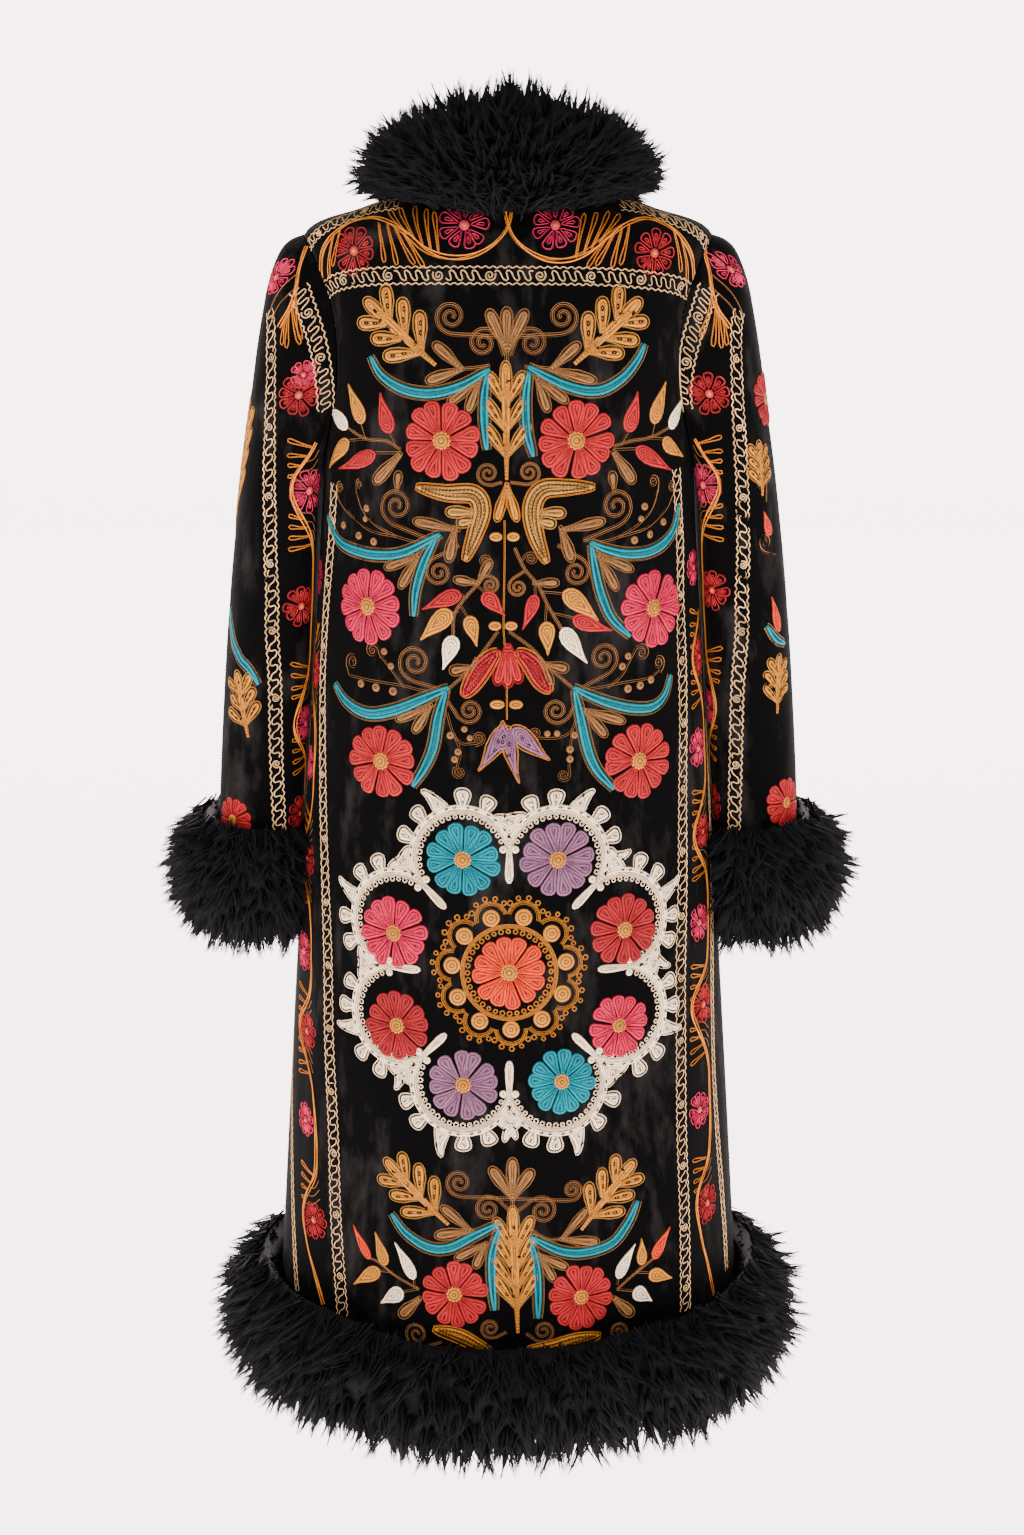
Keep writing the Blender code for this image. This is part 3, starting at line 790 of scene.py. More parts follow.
def petal(work, base, tip, wide, thread, profile=CLUB, edge=None, bend=0.0, high=1.1):
    """A petal filled towards its spine, and a row of chain round it where edge names one."""
    outline = shape(profile, base, tip, wide, bend)
    half = np.array(profile + [(1.0, 0.0)])[:, 0]
    along = np.concatenate([half, half[:-1][::-1]]).clip(*SPINE)[:, None]
    base, run = np.asarray(base, float), np.subtract(tip, base)
    spine = base + run * along + quarter(run) * (bend * along**2)
    work.fill(outline, spine, thread, high)
    if edge:
        middle = ((outline + outline[::-1]) / 2).mean(0)
        work.row(even(outline + unit(outline - middle) * 1.8, 2.6, True), edge, 1.0, True)


def disc(work, centre, radius, thread, count=12, high=1.2):
    work.fill(ring(centre, radius, count=count), centre, thread, high, (0.0, 0.3, 0.97))


def pierced(work, centre, long, wide, turn, count=6):
    """A small gap in a fill, where the velvet shows."""
    x, y = (ring((0, 0), 1.0, count=count) * (long, wide)).T
    cos, sin = way_of(turn)
    outline = np.stack([x * cos - y * sin, x * sin + y * cos], 1)
    work.fill(outline + centre, centre, "black", 1.0, (0.0, 0.98), 1.35)


def rosette(work, centre, radius, thread, petals=12):
    """A filled rosette: round petals side by side, and a gold heart."""
    centre = np.asarray(centre, float)
    start = work.hand.uniform(0, 6.28)
    for number in range(petals):
        turn = start + 2 * math.pi * (number + work.hand.normal(0, 0.06)) / petals
        way = way_of(turn)
        long = radius * work.hand.uniform(0.95, 1.04)
        wide = radius * 0.445 * 12 / petals
        bend = work.hand.normal(0, 0.02)
        root, end = centre + way * radius * 0.12, centre + way * long
        petal(work, root, end, wide, thread, ROUND, None, bend, 1.4)
        root, end = centre + way * radius * 0.42, centre + way * long * 0.88
        work.row(even(shape(CLUB, root, end, wide * 0.34), 2.2, True), thread, 0.9, True, 1.5)
        pierced(work, centre + way * radius * 0.62, radius * 0.09, 0.55, turn)
    disc(work, centre, radius * 0.25, "gold", 14, 2.0)
    work.row(ring(centre, radius * 0.10, count=8), "brown", 1.0, True, 2.1)


def blossom(work, centre, radius, thread, petals=9):
    """An open flower: petals drawn as loops of chain, one inside the other."""
    centre = np.asarray(centre, float)
    start = work.hand.uniform(0, 6.28)
    for number in range(petals):
        turn = start + 2 * math.pi * number / petals + work.hand.normal(0, 0.05)
        way = way_of(turn)
        long = radius * work.hand.uniform(0.88, 1.04)
        for low, high, wide in ((0.26, 1.0, 0.44), (0.45, 0.80, 0.13)):
            root, end = centre + way * radius * low, centre + way * long * high
            outline = shape(ROUND, root, end, radius * wide)
            work.row(even(outline, 2.2, True), thread, 1.3, True, 0.4)
    disc(work, centre, radius * 0.22, thread, 12)
    disc(work, centre, radius * 0.13, "gold", 10, 1.6)


def ribbon(points, wide, taper, step=4.0):
    """The outline of a strip along a curve, and its middle line once for each side."""
    middle = smooth(points, step)
    share = np.linspace(0, 1, len(middle))
    half = wide / 2 * (1 - taper + taper * np.sin(math.pi * share) ** 0.6)
    out = sideways(middle) * half[:, None]
    outline = np.concatenate([middle + out, (middle - out)[::-1]])
    return outline, and_back(middle), middle, out


def band(work, points, wide, thread):
    """A curved band of rows side by side, with a thin row along both edges."""
    outline, target, middle, out = ribbon(points, wide * 0.92, 0.55)
    work.fill(outline, target, thread, 1.2, (0.0, 0.25, 0.6, 0.96))
    for hand in (-1, 1):
        work.row(middle + out * hand + unit(out) * hand * 1.5, "brown", 1.2)


def stem(work, points, wide, thread):
    """A stem of one, two or three rows."""
    middle = smooth(points, 2.8)
    lanes = max(1, int(round(wide / 1.7)))
    for lane in range(lanes):
        off = (lane - (lanes - 1) / 2) * wide / lanes
        work.row(middle + sideways(middle) * off, thread, wide / lanes * 0.95)


def spiral_places(centre, radius, start, hand, turns=1.9, count=44):
    share = np.linspace(0, 1, count)
    turn = start + hand * share * turns * 2 * math.pi
    reach = radius * (1 - 0.86 * share**0.85)
    return np.asarray(centre) + reach[:, None] * np.stack([np.cos(turn), np.sin(turn)], 1)


def curl(work, tail, centre, radius, hand, wide, thread):
    """A stem that runs from its tail into a spiral."""
    tail, centre = np.asarray(tail, float), np.asarray(centre, float)
    away = tail - centre
    reach = max(np.linalg.norm(away), radius * 1.05)
    start = math.atan2(away[1], away[0]) + hand * math.acos(min(1.0, radius / reach))
    places = spiral_places(centre, radius, start, hand)
    stem(work, [tail, tail * 0.45 + places[0] * 0.55, *places[::3]], wide, thread)


def lobed_leaf(work, base, tip, spread, tiers, thread):
    """A leaf with lobes on both sides of a broad body, pierced here and there."""
    base, tip = np.asarray(base, float), np.asarray(tip, float)
    rib = tip - base
    long = np.hypot(*rib)
    side = quarter(rib) / long
    petal(work, base + rib * 0.5, tip, spread * 0.54, thread, CLUB, "tan")
    places = [0.30 + 0.44 * tier / (tiers - 1) for tier in range(tiers)]
    for at, hand in [(at, hand) for at in places for hand in (-1, 1)]:
        root = base + rib * (at - 0.10)
        out = side * hand * spread * (1.42 - 0.50 * at) * work.hand.uniform(0.9, 1.08)
        end = base + rib * (at + 0.17) + out
        petal(work, root, end, spread * 0.50, thread, CLUB, "tan", 0.0, 1.2)
        for share in (0.46, 0.74):
            here = root * (1 - share) + end * share + work.hand.normal(0, 0.5, 2)
            pierced(work, here, spread * 0.15, spread * 0.075, math.atan2(*(end - root)[::-1]))
    petal(work, base, base + rib * 0.86, spread * 0.50, thread, CLUB, None, 0.0, 1.35)
    for at in np.linspace(0.3, 0.84, 2 * tiers):
        here = base + rib * at + side * work.hand.uniform(-0.24, 0.24) * spread
        pierced(work, here, spread * 0.13, spread * 0.07, work.hand.uniform(0, 3))


def wing(work, points, wide, thread):
    """A bent pointed leaf worked as openwork: a pierced fill inside an outline."""
    outline, target, middle, out = ribbon(points, wide, 0.86, 3.2)
    work.fill(outline, target, thread, 1.2, (0.0, 0.3, 0.96))
    work.row(even(outline + unit(outline - target + 1e-6) * 1.6, 2.6, True), "vine", 1.2, True)
    for place, off in zip(middle[2:-2], out[2:-2]):
        for hand in (-0.42, 0.40):
            pierced(work, place + off * hand, 1.7, 1.1, work.hand.uniform(0, 3))


def loops(work, points, radius, space, thread, side=1):
    """Small loops of chain standing along a line."""
    line = even(points, space)
    for place, out in zip(line, sideways(line) * side):
        loop = ring(place + out * radius * 1.25, radius * work.hand.uniform(0.85, 1.1), count=7)
        work.row(loop, thread, 1.1, True, 0.4)


def medallion(work, centre, reach, lobe):
    """The round medallion: eight lace lobes of cream, with bars between them, and a ring of
    gold discs under small arches at its middle."""
    centre = np.asarray(centre, float)
    for number in range(8):
        out = math.radians(22.5 + 45 * number)
        middle = centre + reach * way_of(out)
        for radius, wide in ((lobe - 0.5, 1.5), (lobe + 1.4, 1.3)):
            work.row(ring(middle, radius, out - 1.76, out + 1.76, 52), "cream", wide, False, 0.5)
        loops(work, ring(middle, lobe - 1.0, out - 1.68, out + 1.68, 60), 2.0, 6.8, "cream")
        low = ring(middle, lobe + 2.6, out - 1.5, out + 1.5, 40)
        high = ring(middle, lobe + 7.6, out - 1.42, out + 1.42, 40)
        outline = np.concatenate([low, high[::-1]])
        work.fill(outline, and_back((low + high) / 2), "cream", 1.1, (0.0, 0.4, 0.96))
        for place, turn in enumerate(np.linspace(out - 1.24, out + 1.24, 7)):
            lean = turn + work.hand.normal(0, 0.05)
            way = way_of(lean)
            foot = middle + (lobe + 4.0) * way_of(turn)
            horn = place in (0, 3, 6)
            long = (23.0 if horn else 16.0) * work.hand.uniform(0.94, 1.08)
            bend = (0.30 if horn else 0.04) * work.hand.choice((-1, 1))
            wide, profile = (13.0, HORN) if horn else (12.0, CLUB)
            petal(work, foot, foot + way * long, wide, "cream", profile, "cream", bend, 1.2)
            for share, size in ((0.34, 1.0), (0.70, 1.3)):
                tilt = lean + work.hand.normal(0, 0.5)
                pierced(work, foot + way * long * share, size * 1.9, size * 0.8, tilt)
            for off in (0.10, 0.26):
                gap = middle + (lobe + 5.0) * way_of(turn + off)
                pierced(work, gap, 2.0, 1.2, turn + 1.57)
    for number in range(8):
        way = way_of(number * math.pi / 4)
        side = quarter(way)
        root, end = centre + way * (reach + 12), centre + way * (reach - 31)
        petal(work, root, end, 8.4, "cream", high=1.3)
        root, end = centre + way * (reach - 4), centre + way * (reach - 29)
        work.row(shape(CLUB, root, end, 4.0), "border", 0.7, True, 1.6)
        cross = centre + way * (reach + 1)
        for hand in (1, -1):
            disc(work, cross + side * hand * 5.6, 3.8, "cream", 9)
        for hand in (-1, 1):
            fork = ((8, 0), (17, hand * 5), (27, hand * 12))
            fork = [cross + way * along + side * aside for along, aside in fork]
            stem(work, fork, 4.6, "cream")
    for radius in (42.5, 44.6):
        work.row(ring(centre, radius, count=96), "gold", 1.5, True, 0.5)
    loops(work, ring(centre, 41.4, count=200), 2.1, 7.2, "gold")
    for number in range(11):
        out = math.radians(-10 + 360 / 11 * number)
        middle = centre + 53.5 * way_of(out)
        disc(work, middle, 8.3, "gold", 16, 1.5)
        for radius, wide in ((12.8, 1.6), (14.9, 1.3)):
            work.row(ring(middle, radius, out - 1.60, out + 1.60, 24), "gold", wide)
        loops(work, ring(middle, 15.8, out - 1.05, out + 1.05, 30), 2.2, 7.6, "gold", -1)


def scroll_border(work, points, wide, space=64.0):
    """A border: two waved edges with a meandering line between them, and spirals in it."""
    middle = smooth(points, 1.1)
    run = np.arange(len(middle)) * 1.1
    side = sideways(middle)
    along = np.stack([side[:, 1], -side[:, 0]], 1)
    wave = 0.8 * np.sin(run * 2 * math.pi / 7.0 + 0.5)[:, None]
    for hand in (-1, 1):
        work.row(middle + side * (hand * wide / 2 + wave), "border", 0.95)
    turn = run[:, None] * 2 * math.pi * 4.5 / space
    reach = min(1.0, wide / 11.0)
    swing = along * reach * (1.7 * np.sin(turn) - 0.9 * np.sin(2 * turn))
    scroll = middle + swing + side * np.sin(turn) * wide * 0.31
    centres = np.array([-99.0])  # off the start: a narrow border has no spirals
    if wide > 9:
        centres = np.arange(work.hand.uniform(10, space), run[-1] - 8, space)
    near = np.min(np.abs(run[:, None] - centres), axis=1) < wide * 0.42
    for part in np.split(np.arange(len(run)), np.flatnonzero(np.diff(near.astype(int))) + 1):
        if not near[part[0]] and len(part) > 5:
            work.row(scroll[part], "border", 0.95)
    for centre in (centres[centres > 0] / 1.1).astype(int):
        hand, start = work.hand.choice((-1, 1)), work.hand.uniform(0, 6)
        spiral = spiral_places(middle[centre], wide * 0.38, start, hand, 1.7, 24)
        work.row(spiral, "border", 1.1)


def spray(work, root, tip):
    """A thin drawn-out loop that springs from the vine."""
    outline = shape(PIN, root, tip, 3.8, 0.06 * work.hand.choice((-1, 1)))
    work.row(even(outline, 3.0, True), "vine", 0.95, True)


def vine(work, middle):
    """A stem of three thin rows that cross over one another."""
    middle = smooth(middle, 2.8)
    run = np.arange(len(middle))
    side = sideways(middle)
    for lane in range(3):
        off = 1.7 * np.sin(run / 9.0 + lane * 2.1) + 0.6 * (lane - 1)
        work.row(middle + side * off[:, None], "vine", 1.15, False, 0.35 + 0.2 * lane)


def flower_vine(work, points, flowers, threads, reach=15.0, radius=18.0):
    """A vine down a line that bows out round every second flower, with fans of thin loops
    at the ends of each bow and brown tendrils inside it."""
    line = smooth(points, 1.0)

    def at(down, off=0.0, path=line):
        return path[np.argmin(np.abs(path[:, 1] - down))] + (off, 0)

    gaps = [(a + b) / 2 for a, b in zip(flowers, flowers[1:])]
    rows = []
    for number, (stop, gap) in enumerate(zip(flowers, gaps + [line[-1, 1]])):
        bowed = number % 2
        if number:
            rows.append(at(stop, -reach if bowed else reach * 1.1))
        rows.append(at(gap, reach * 0.8))
        thread, size = threads[number % len(threads)], radius * work.hand.uniform(0.92, 1.08)
        blossom(work, at(stop, reach * (0.30 if bowed else -0.25)), size, thread)
    vine(work, rows)
    path = smooth(rows, 1.0)
    for number, gap in enumerate(gaps):
        way = -1 if number % 2 else 1
        for share in range(4):
            root = at(gap + way * (4 + 8 * share), 0.0, path)
            spray(work, root, at(gap + way * (11 * share - 2), -reach * 1.2))
            if share:
                root = at(gap + way * (8 + 9 * share), 0.0, path)
                end = at(gap + way * (9 * share - 3), reach * 1.1)
                work.row(smooth([root, (root + end) / 2 + (2, way * 3), end]), "brown", 0.9)


def dyed(thread, rows):
    """A table's rows that are worked in one thread, with its name at their ends."""
    return [(*row, thread) for row in rows]


# Each place is across and down, from a motif's root to its tip where there are two, and
# then come its radius or width and what else its function takes.
BACK_ROSETTES = [
    (-61, 204, 37, "coral"), (61, 204, 37, "coral"), (-136, 358, 37, "pink"),
    (140, 360, 37, "pink"), (-122, 500, 36, "coral"), (124, 500, 36, "coral"),
    (-43, 587, 36, "turquoise"), (45, 587, 36, "mauve"), (-110, 660, 35, "pink"),
    (110, 657, 35, "red"), (-107, 747, 34, "red"), (105, 747, 31, "pink"),
    (-43, 799, 34, "mauve"), (49, 796, 33, "turquoise"), (0, 692, 36, "orange"),
    (-52, 1000, 33, "coral"), (68, 1005, 33, "coral"),
]
BACK_BUDS = [
    (-160, 196, -200, 176, 18, "cream"), (-141, 192, -152, 154, 18, "gold"),
    (-110, 199, -124, 163, 18, "coral"), (-160, 208, -200, 232, 16, "gold"),
    (-126, 217, -175, 241, 17, "coral"), (159, 196, 189, 173, 18, "cream"),
    (139, 192, 147, 152, 18, "gold"), (110, 198, 124, 162, 18, "coral"),
    (151, 206, 183, 229, 16, "gold"), (119, 212, 163, 241, 17, "coral"),
    (-43, 342, -82, 353, 17, "coral"), (-52, 358, -85, 382, 20, "gold"),
    (-38, 362, -26, 389, 16, "gold"), (-51, 380, -57, 413, 18, "cream"),
    (-23, 340, -6, 364, 17, "coral"), (49, 340, 86, 364, 20, "gold"),
    (58, 364, 95, 382, 17, "coral"), (33, 367, 39, 398, 17, "gold"),
    (49, 373, 68, 409, 18, "cream"), (24, 342, 16, 376, 14, "coral"),
    (-139, 978, -162, 950, 12, "orange"), (-122, 981, -129, 948, 15, "gold"),
    (-91, 989, -107, 953, 14, "cream"), (-127, 986, -162, 1003, 16, "gold"),
    (-102, 1002, -129, 1015, 17, "cream"), (106, 993, 119, 958, 13, "cream"),
    (129, 982, 132, 955, 12, "gold"), (142, 978, 156, 946, 13, "orange"),
    (137, 990, 161, 1002, 16, "gold"), (121, 1006, 142, 1016, 17, "cream"),
]
BACK_FINGERS = dyed("brown", [
    (-2, 123, -18, 89, 11), (-2, 123, -2, 87, 11), (-1, 123, 15, 89, 11),
    (-42, 140, -67, 118, 10), (-42, 140, -74, 151, 10), (38, 140, 63, 118, 10),
    (38, 140, 78, 151, 10), (-26, 148, -54, 170, 9), (-26, 148, -37, 178, 9),
    (25, 148, 52, 169, 9), (25, 148, 35, 177, 9),
]) + dyed("gold", [
    (-2, 243, -11, 275, 8), (-2, 243, 7, 275, 8), (-6, 290, -18, 290, 11), (-2, 290, 10, 290, 11),
    (-7, 371, -19, 371, 11), (-4, 371, 8, 371, 11), (-4, 443, -18, 443, 11),
    (0, 443, 13, 443, 11),
]) + dyed("brown", [
    (-100, 217, -127, 244, 12), (96, 215, 117, 243, 12), (-104, 249, -102, 234, 7),
    (97, 249, 95, 234, 7), (-46, 284, -87, 277, 10), (-49, 282, -55, 312, 10),
    (49, 284, 87, 277, 10), (47, 282, 57, 312, 10), (-83, 308, -116, 321, 9),
    (-83, 308, -101, 338, 9), (82, 308, 116, 323, 9), (82, 308, 100, 340, 9),
    (-28, 332, -49, 329, 7), (-28, 332, -17, 312, 7), (23, 332, 44, 332, 7),
    (-36, 409, -53, 413, 9), (-30, 402, -35, 426, 9), (34, 406, 53, 411, 9),
    (29, 402, 38, 426, 9), (-72, 445, -105, 460, 9), (-72, 445, -88, 470, 9),
    (69, 449, 108, 462, 9), (69, 449, 90, 474, 9), (3, 907, -17, 878, 11), (3, 907, 3, 869, 11),
    (3, 907, 21, 880, 11), (-36, 938, -63, 916, 9), (-36, 938, -69, 944, 10),
    (49, 947, 74, 920, 9), (49, 947, 85, 954, 10), (-22, 950, -50, 965, 8),
    (-22, 950, -32, 973, 8), (28, 962, 42, 987, 8), (28, 962, 54, 975, 8),
    (-85, 1006, -105, 1026, 11), (102, 1011, 120, 1029, 11),
])
BACK_BANDS = dyed("turquoise", [
    ([(-129, 130), (-118, 147), (-96, 159), (-70, 162), (-43, 155), (-17, 140)], 10),
    ([(-19, 143), (-22, 164), (-22, 187), (-20, 212)], 9),
    ([(126, 119), (119, 133), (103, 150), (80, 160), (52, 155), (17, 138)], 10),
    ([(18, 142), (15, 167), (16, 194), (22, 218)], 9),
    ([(-200, 280), (-178, 300), (-152, 308), (-125, 310), (-97, 306), (-62, 288)], 10),
    ([(-66, 290), (-78, 314), (-86, 340), (-88, 364)], 9),
    ([(176, 268), (169, 288), (153, 302), (134, 308), (109, 308), (87, 302), (74, 296)], 10),
    ([(75, 298), (81, 329), (87, 349), (96, 367), (114, 384)], 9),
    ([(-179, 434), (-165, 447), (-148, 455), (-130, 457), (-106, 451), (-83, 441),
        (-55, 428)], 11),
    ([(-58, 430), (-65, 455), (-70, 483), (-78, 502), (-90, 521)], 10),
    ([(162, 424), (155, 441), (140, 451), (120, 451), (96, 445), (74, 436), (59, 428)], 10),
    ([(60, 430), (66, 457), (73, 487), (82, 506), (98, 524)], 10),
    ([(-114, 928), (-99, 945), (-76, 956), (-56, 955), (-35, 944), (-8, 930)], 10),
    ([(-9, 934), (-16, 962), (-16, 989), (-14, 1015)], 9),
    ([(125, 918), (116, 938), (100, 957), (75, 962), (49, 959), (19, 944)], 10),
    ([(20, 948), (25, 970), (27, 997), (27, 1024)], 9),
])
BACK_STEMS = dyed("brown", [
    ([(-2, 119), (-2, 134)], 4),
]) + dyed("gold", [
    ([(-4, 275), (-4, 310), (-5, 367), (-4, 389)], 1.4), ([(-2, 422), (-2, 457)], 1.4),
]) + dyed("brown", [
    ([(-42, 140), (-30, 139), (-17, 137)], 3.4), ([(38, 140), (28, 139), (14, 138)], 3.4),
    ([(-100, 213), (-114, 206), (-136, 205), (-160, 196)], 3), ([(-136, 205), (-141, 192)], 2.4),
    ([(-104, 209), (-110, 198)], 2.4), ([(-100, 216), (-126, 217)], 2.4),
    ([(-136, 205), (-160, 208)], 2.4), ([(96, 210), (114, 206), (133, 204), (159, 196)], 3),
    ([(136, 203), (139, 192)], 2.4), ([(103, 209), (110, 198)], 2.4),
    ([(96, 213), (119, 213)], 2.4), ([(133, 204), (151, 206)], 2.4),
    ([(-71, 294), (-86, 296), (-105, 292), (-133, 288), (-160, 275), (-180, 260)], 2.2),
    ([(-104, 292), (-127, 282), (-143, 269), (-151, 254)], 2.2),
    ([(68, 294), (84, 296), (104, 292), (130, 286), (155, 273), (166, 259)], 2.2),
    ([(102, 292), (122, 282), (137, 268), (144, 252)], 2.2),
    ([(-17, 312), (-28, 332), (-41, 347), (-50, 362), (-51, 382)], 3),
    ([(-41, 347), (-43, 342)], 2), ([(-46, 358), (-52, 360)], 2), ([(-44, 353), (-37, 364)], 2),
    ([(-29, 334), (-23, 340)], 2), ([(5, 300), (14, 319), (26, 334), (37, 356), (49, 376)], 3),
    ([(29, 340), (50, 342)], 2), ([(41, 360), (58, 364)], 2), ([(34, 351), (33, 367)], 2),
    ([(23, 329), (24, 345)], 2), ([(-10, 376), (-29, 402), (-42, 417), (-56, 430)], 3),
    ([(0, 376), (20, 391), (36, 409), (60, 430)], 3),
    ([(-56, 430), (-77, 432), (-101, 428), (-133, 426), (-158, 424)], 2.2),
    ([(-97, 430), (-108, 417), (-115, 409), (-122, 402)], 2.2),
    ([(60, 430), (75, 430), (108, 426), (134, 424), (148, 417)], 2.2),
    ([(91, 430), (105, 420), (112, 409), (116, 402)], 2.2),
    ([(-57, 451), (-52, 468), (-44, 479), (-31, 479)], 2.2),
    ([(-52, 468), (-45, 487), (-48, 502)], 2.2),
    ([(64, 451), (57, 468), (45, 474), (27, 474)], 2.2), ([(58, 466), (56, 487), (55, 502)], 2.2),
    ([(3, 903), (3, 920)], 4), ([(-36, 938), (-25, 938), (-8, 928)], 3.2),
    ([(49, 947), (34, 946), (14, 932)], 3.2),
    ([(-86, 997), (-110, 988), (-127, 979), (-139, 976)], 2.6), ([(-86, 997), (-102, 1002)], 2.2),
    ([(-115, 985), (-122, 981)], 2.2), ([(-90, 994), (-91, 989)], 2.2),
    ([(-113, 985), (-127, 986)], 2.2), ([(105, 1003), (120, 991), (133, 982), (142, 976)], 2.6),
    ([(105, 1003), (121, 1006)], 2.2), ([(122, 990), (129, 982)], 2.2),
    ([(105, 999), (106, 993)], 2.2), ([(124, 988), (137, 990)], 2.2),
])
BACK_SPIRALS = dyed("brown", [
    (-5, 112, -52, 94, 15, 1, 3.6), (-4, 128, -23, 117, 14, -1, 3.6),
    (1, 112, 48, 94, 15, -1, 3.6), (1, 128, 21, 117, 14, 1, 3.6), (-6, 241, -19, 233, 11, 1, 2.8),
    (1, 241, 18, 232, 11, -1, 2.8), (-71, 294, -104, 264, 17, 1, 3.6),
    (68, 294, 99, 264, 17, -1, 3.6), (-45, 298, -64, 323, 13, -1, 3.2),
    (44, 298, 61, 323, 13, 1, 3.2), (-28, 325, -17, 334, 8, 1, 2.6),
    (14, 321, 8, 336, 9, -1, 2.6), (-24, 321, -22, 312, 6, -1, 2.2),
    (11, 312, 20, 310, 6, 1, 2.2), (-56, 432, -87, 406, 17, 1, 3.4),
    (60, 432, 87, 402, 15, -1, 3.4), (-56, 441, -36, 449, 12, -1, 3.2),
    (62, 441, 43, 449, 13, 1, 3.2), (-177, 262, -174, 252, 6, 1, 2.2),
    (-151, 256, -146, 247, 5, 1, 2.2), (165, 260, 165, 251, 6, -1, 2.2),
    (144, 254, 139, 244, 6, -1, 2.2), (-158, 424, -155, 411, 8, 1, 2.4),
    (-121, 404, -131, 398, 7, -1, 2.4), (148, 420, 146, 411, 7, -1, 2.4),
    (116, 402, 127, 400, 8, 1, 2.4), (-31, 481, -28, 474, 6, -1, 2.2),
    (-48, 502, -46, 506, 6, -1, 2.2), (27, 476, 24, 470, 6, 1, 2.2),
    (55, 502, 50, 509, 6, 1, 2.2), (0, 907, -47, 892, 13, 1, 3.4),
    (0, 918, -20, 917, 13, -1, 3.4), (6, 907, 59, 900, 10, -1, 3.4),
    (6, 920, 31, 919, 14, 1, 3.4), (-3, 1036, -18, 1032, 10, 1, 3),
    (16, 1038, 32, 1036, 11, -1, 3), (-64, 1046, -88, 1041, 13, 1, 3),
    (90, 1049, 106, 1044, 11, -1, 3),
])
BACK_DOTS = dyed("brown", [
    (-168, 286, 3.9), (-148, 294, 4.1), (-129, 298, 4.1), (-137, 268, 3.9), (-139, 278, 3.3),
    (154, 282, 3.9), (136, 292, 4.1), (118, 296, 4.1), (129, 266, 3.9), (125, 277, 3.3),
    (-144, 430, 4.1), (-127, 432, 4.4), (-109, 434, 4.4), (-118, 398, 3.7), (-111, 411, 3.7),
    (137, 426, 4.0), (125, 430, 4.2), (112, 432, 4.2), (112, 402, 3.7), (106, 411, 3.9),
    (-41, 466, 3.3), (-54, 472, 3.9), (-36, 474, 3.3), (-47, 487, 3.7), (-50, 494, 3.7),
    (60, 472, 3.7), (44, 470, 3.3), (35, 470, 3.3), (56, 485, 3.9), (56, 494, 3.7),
])
BACK_LEAVES = dyed("gold", [
    (-66, 137, -133, 80, 19, 3), (59, 136, 121, 80, 19, 3), (-2, 239, -3, 134, 15, 3),
    (-57, 933, -120, 877, 17, 3), (68, 940, 121, 879, 17, 3), (8, 1038, 3, 915, 16, 4),
])
BACK_WINGS = [
    ([(-85, 246), (-57, 251), (-32, 252), (-25, 266), (-31, 288), (-40, 312)], 14, "tan"),
    ([(78, 246), (52, 246), (30, 248), (21, 264), (24, 288), (34, 314)], 14, "tan"),
    ([(-10, 393), (-24, 409), (-35, 426), (-42, 436)], 16, "coral"),
    ([(7, 393), (21, 406), (30, 422), (38, 432)], 16, "coral"),
    ([(-72, 1034), (-50, 1039), (-31, 1048), (-18, 1054)], 11, "gold"),
    ([(88, 1045), (63, 1046), (39, 1052), (16, 1054)], 11, "gold"),
]
BACK_LOBES = dyed("tan", [
    (-29, 268, -56, 268, 10), (-28, 275, -46, 278, 9), (26, 268, 50, 269, 10),
    (24, 275, 41, 279, 9),
]) + dyed("coral", [
    (-2, 389, -11, 424, 11), (-1, 389, -1, 426, 11), (0, 389, 9, 422, 11),
]) + dyed("mauve", [
    (-5, 464, -21, 506, 16), (-1, 464, 1, 515, 13), (4, 464, 31, 498, 18), (-8, 485, -2, 460, 17),
])
YOKE_VINES = [
    [(3, -8), (1, 10), (-6, 24), (-20, 35), (-38, 42), (-58, 42), (-76, 35), (-92, 22),
        (-110, 12), (-130, 8), (-152, 14), (-172, 28), (-186, 52), (-192, 80)],
    [(-5, -8), (-2, 10), (4, 24), (16, 36), (34, 44), (54, 44), (72, 37), (90, 24), (108, 13),
        (130, 9), (152, 17), (170, 34), (184, 56), (192, 80)],
]
YOKE_FLOWERS = [
    (-40, 14, 23, "wine"), (42, 14, 22, "wine"), (-143, 37, 22, "darkred"),
    (134, 39, 21, "darkred"),
]
YOKE_SPRAYS = [
    (-63, 40, -66, 2), (-70, 37, -78, 0), (-77, 33, -90, -2), (-84, 28, -101, -2),
    (-91, 23, -112, 0), (-119, 12, -111, 47), (-111, 12, -99, 49), (-104, 15, -87, 50),
    (-96, 20, -74, 51), (-158, 18, -166, 52), (-165, 22, -178, 62), (60, 43, 67, 3),
    (67, 40, 79, 2), (74, 35, 91, 1), (81, 30, 102, 3), (110, 13, 103, 50), (103, 16, 91, 51),
    (96, 20, 80, 51), (89, 25, 69, 50), (154, 18, 166, 56), (162, 26, 178, 66),
]
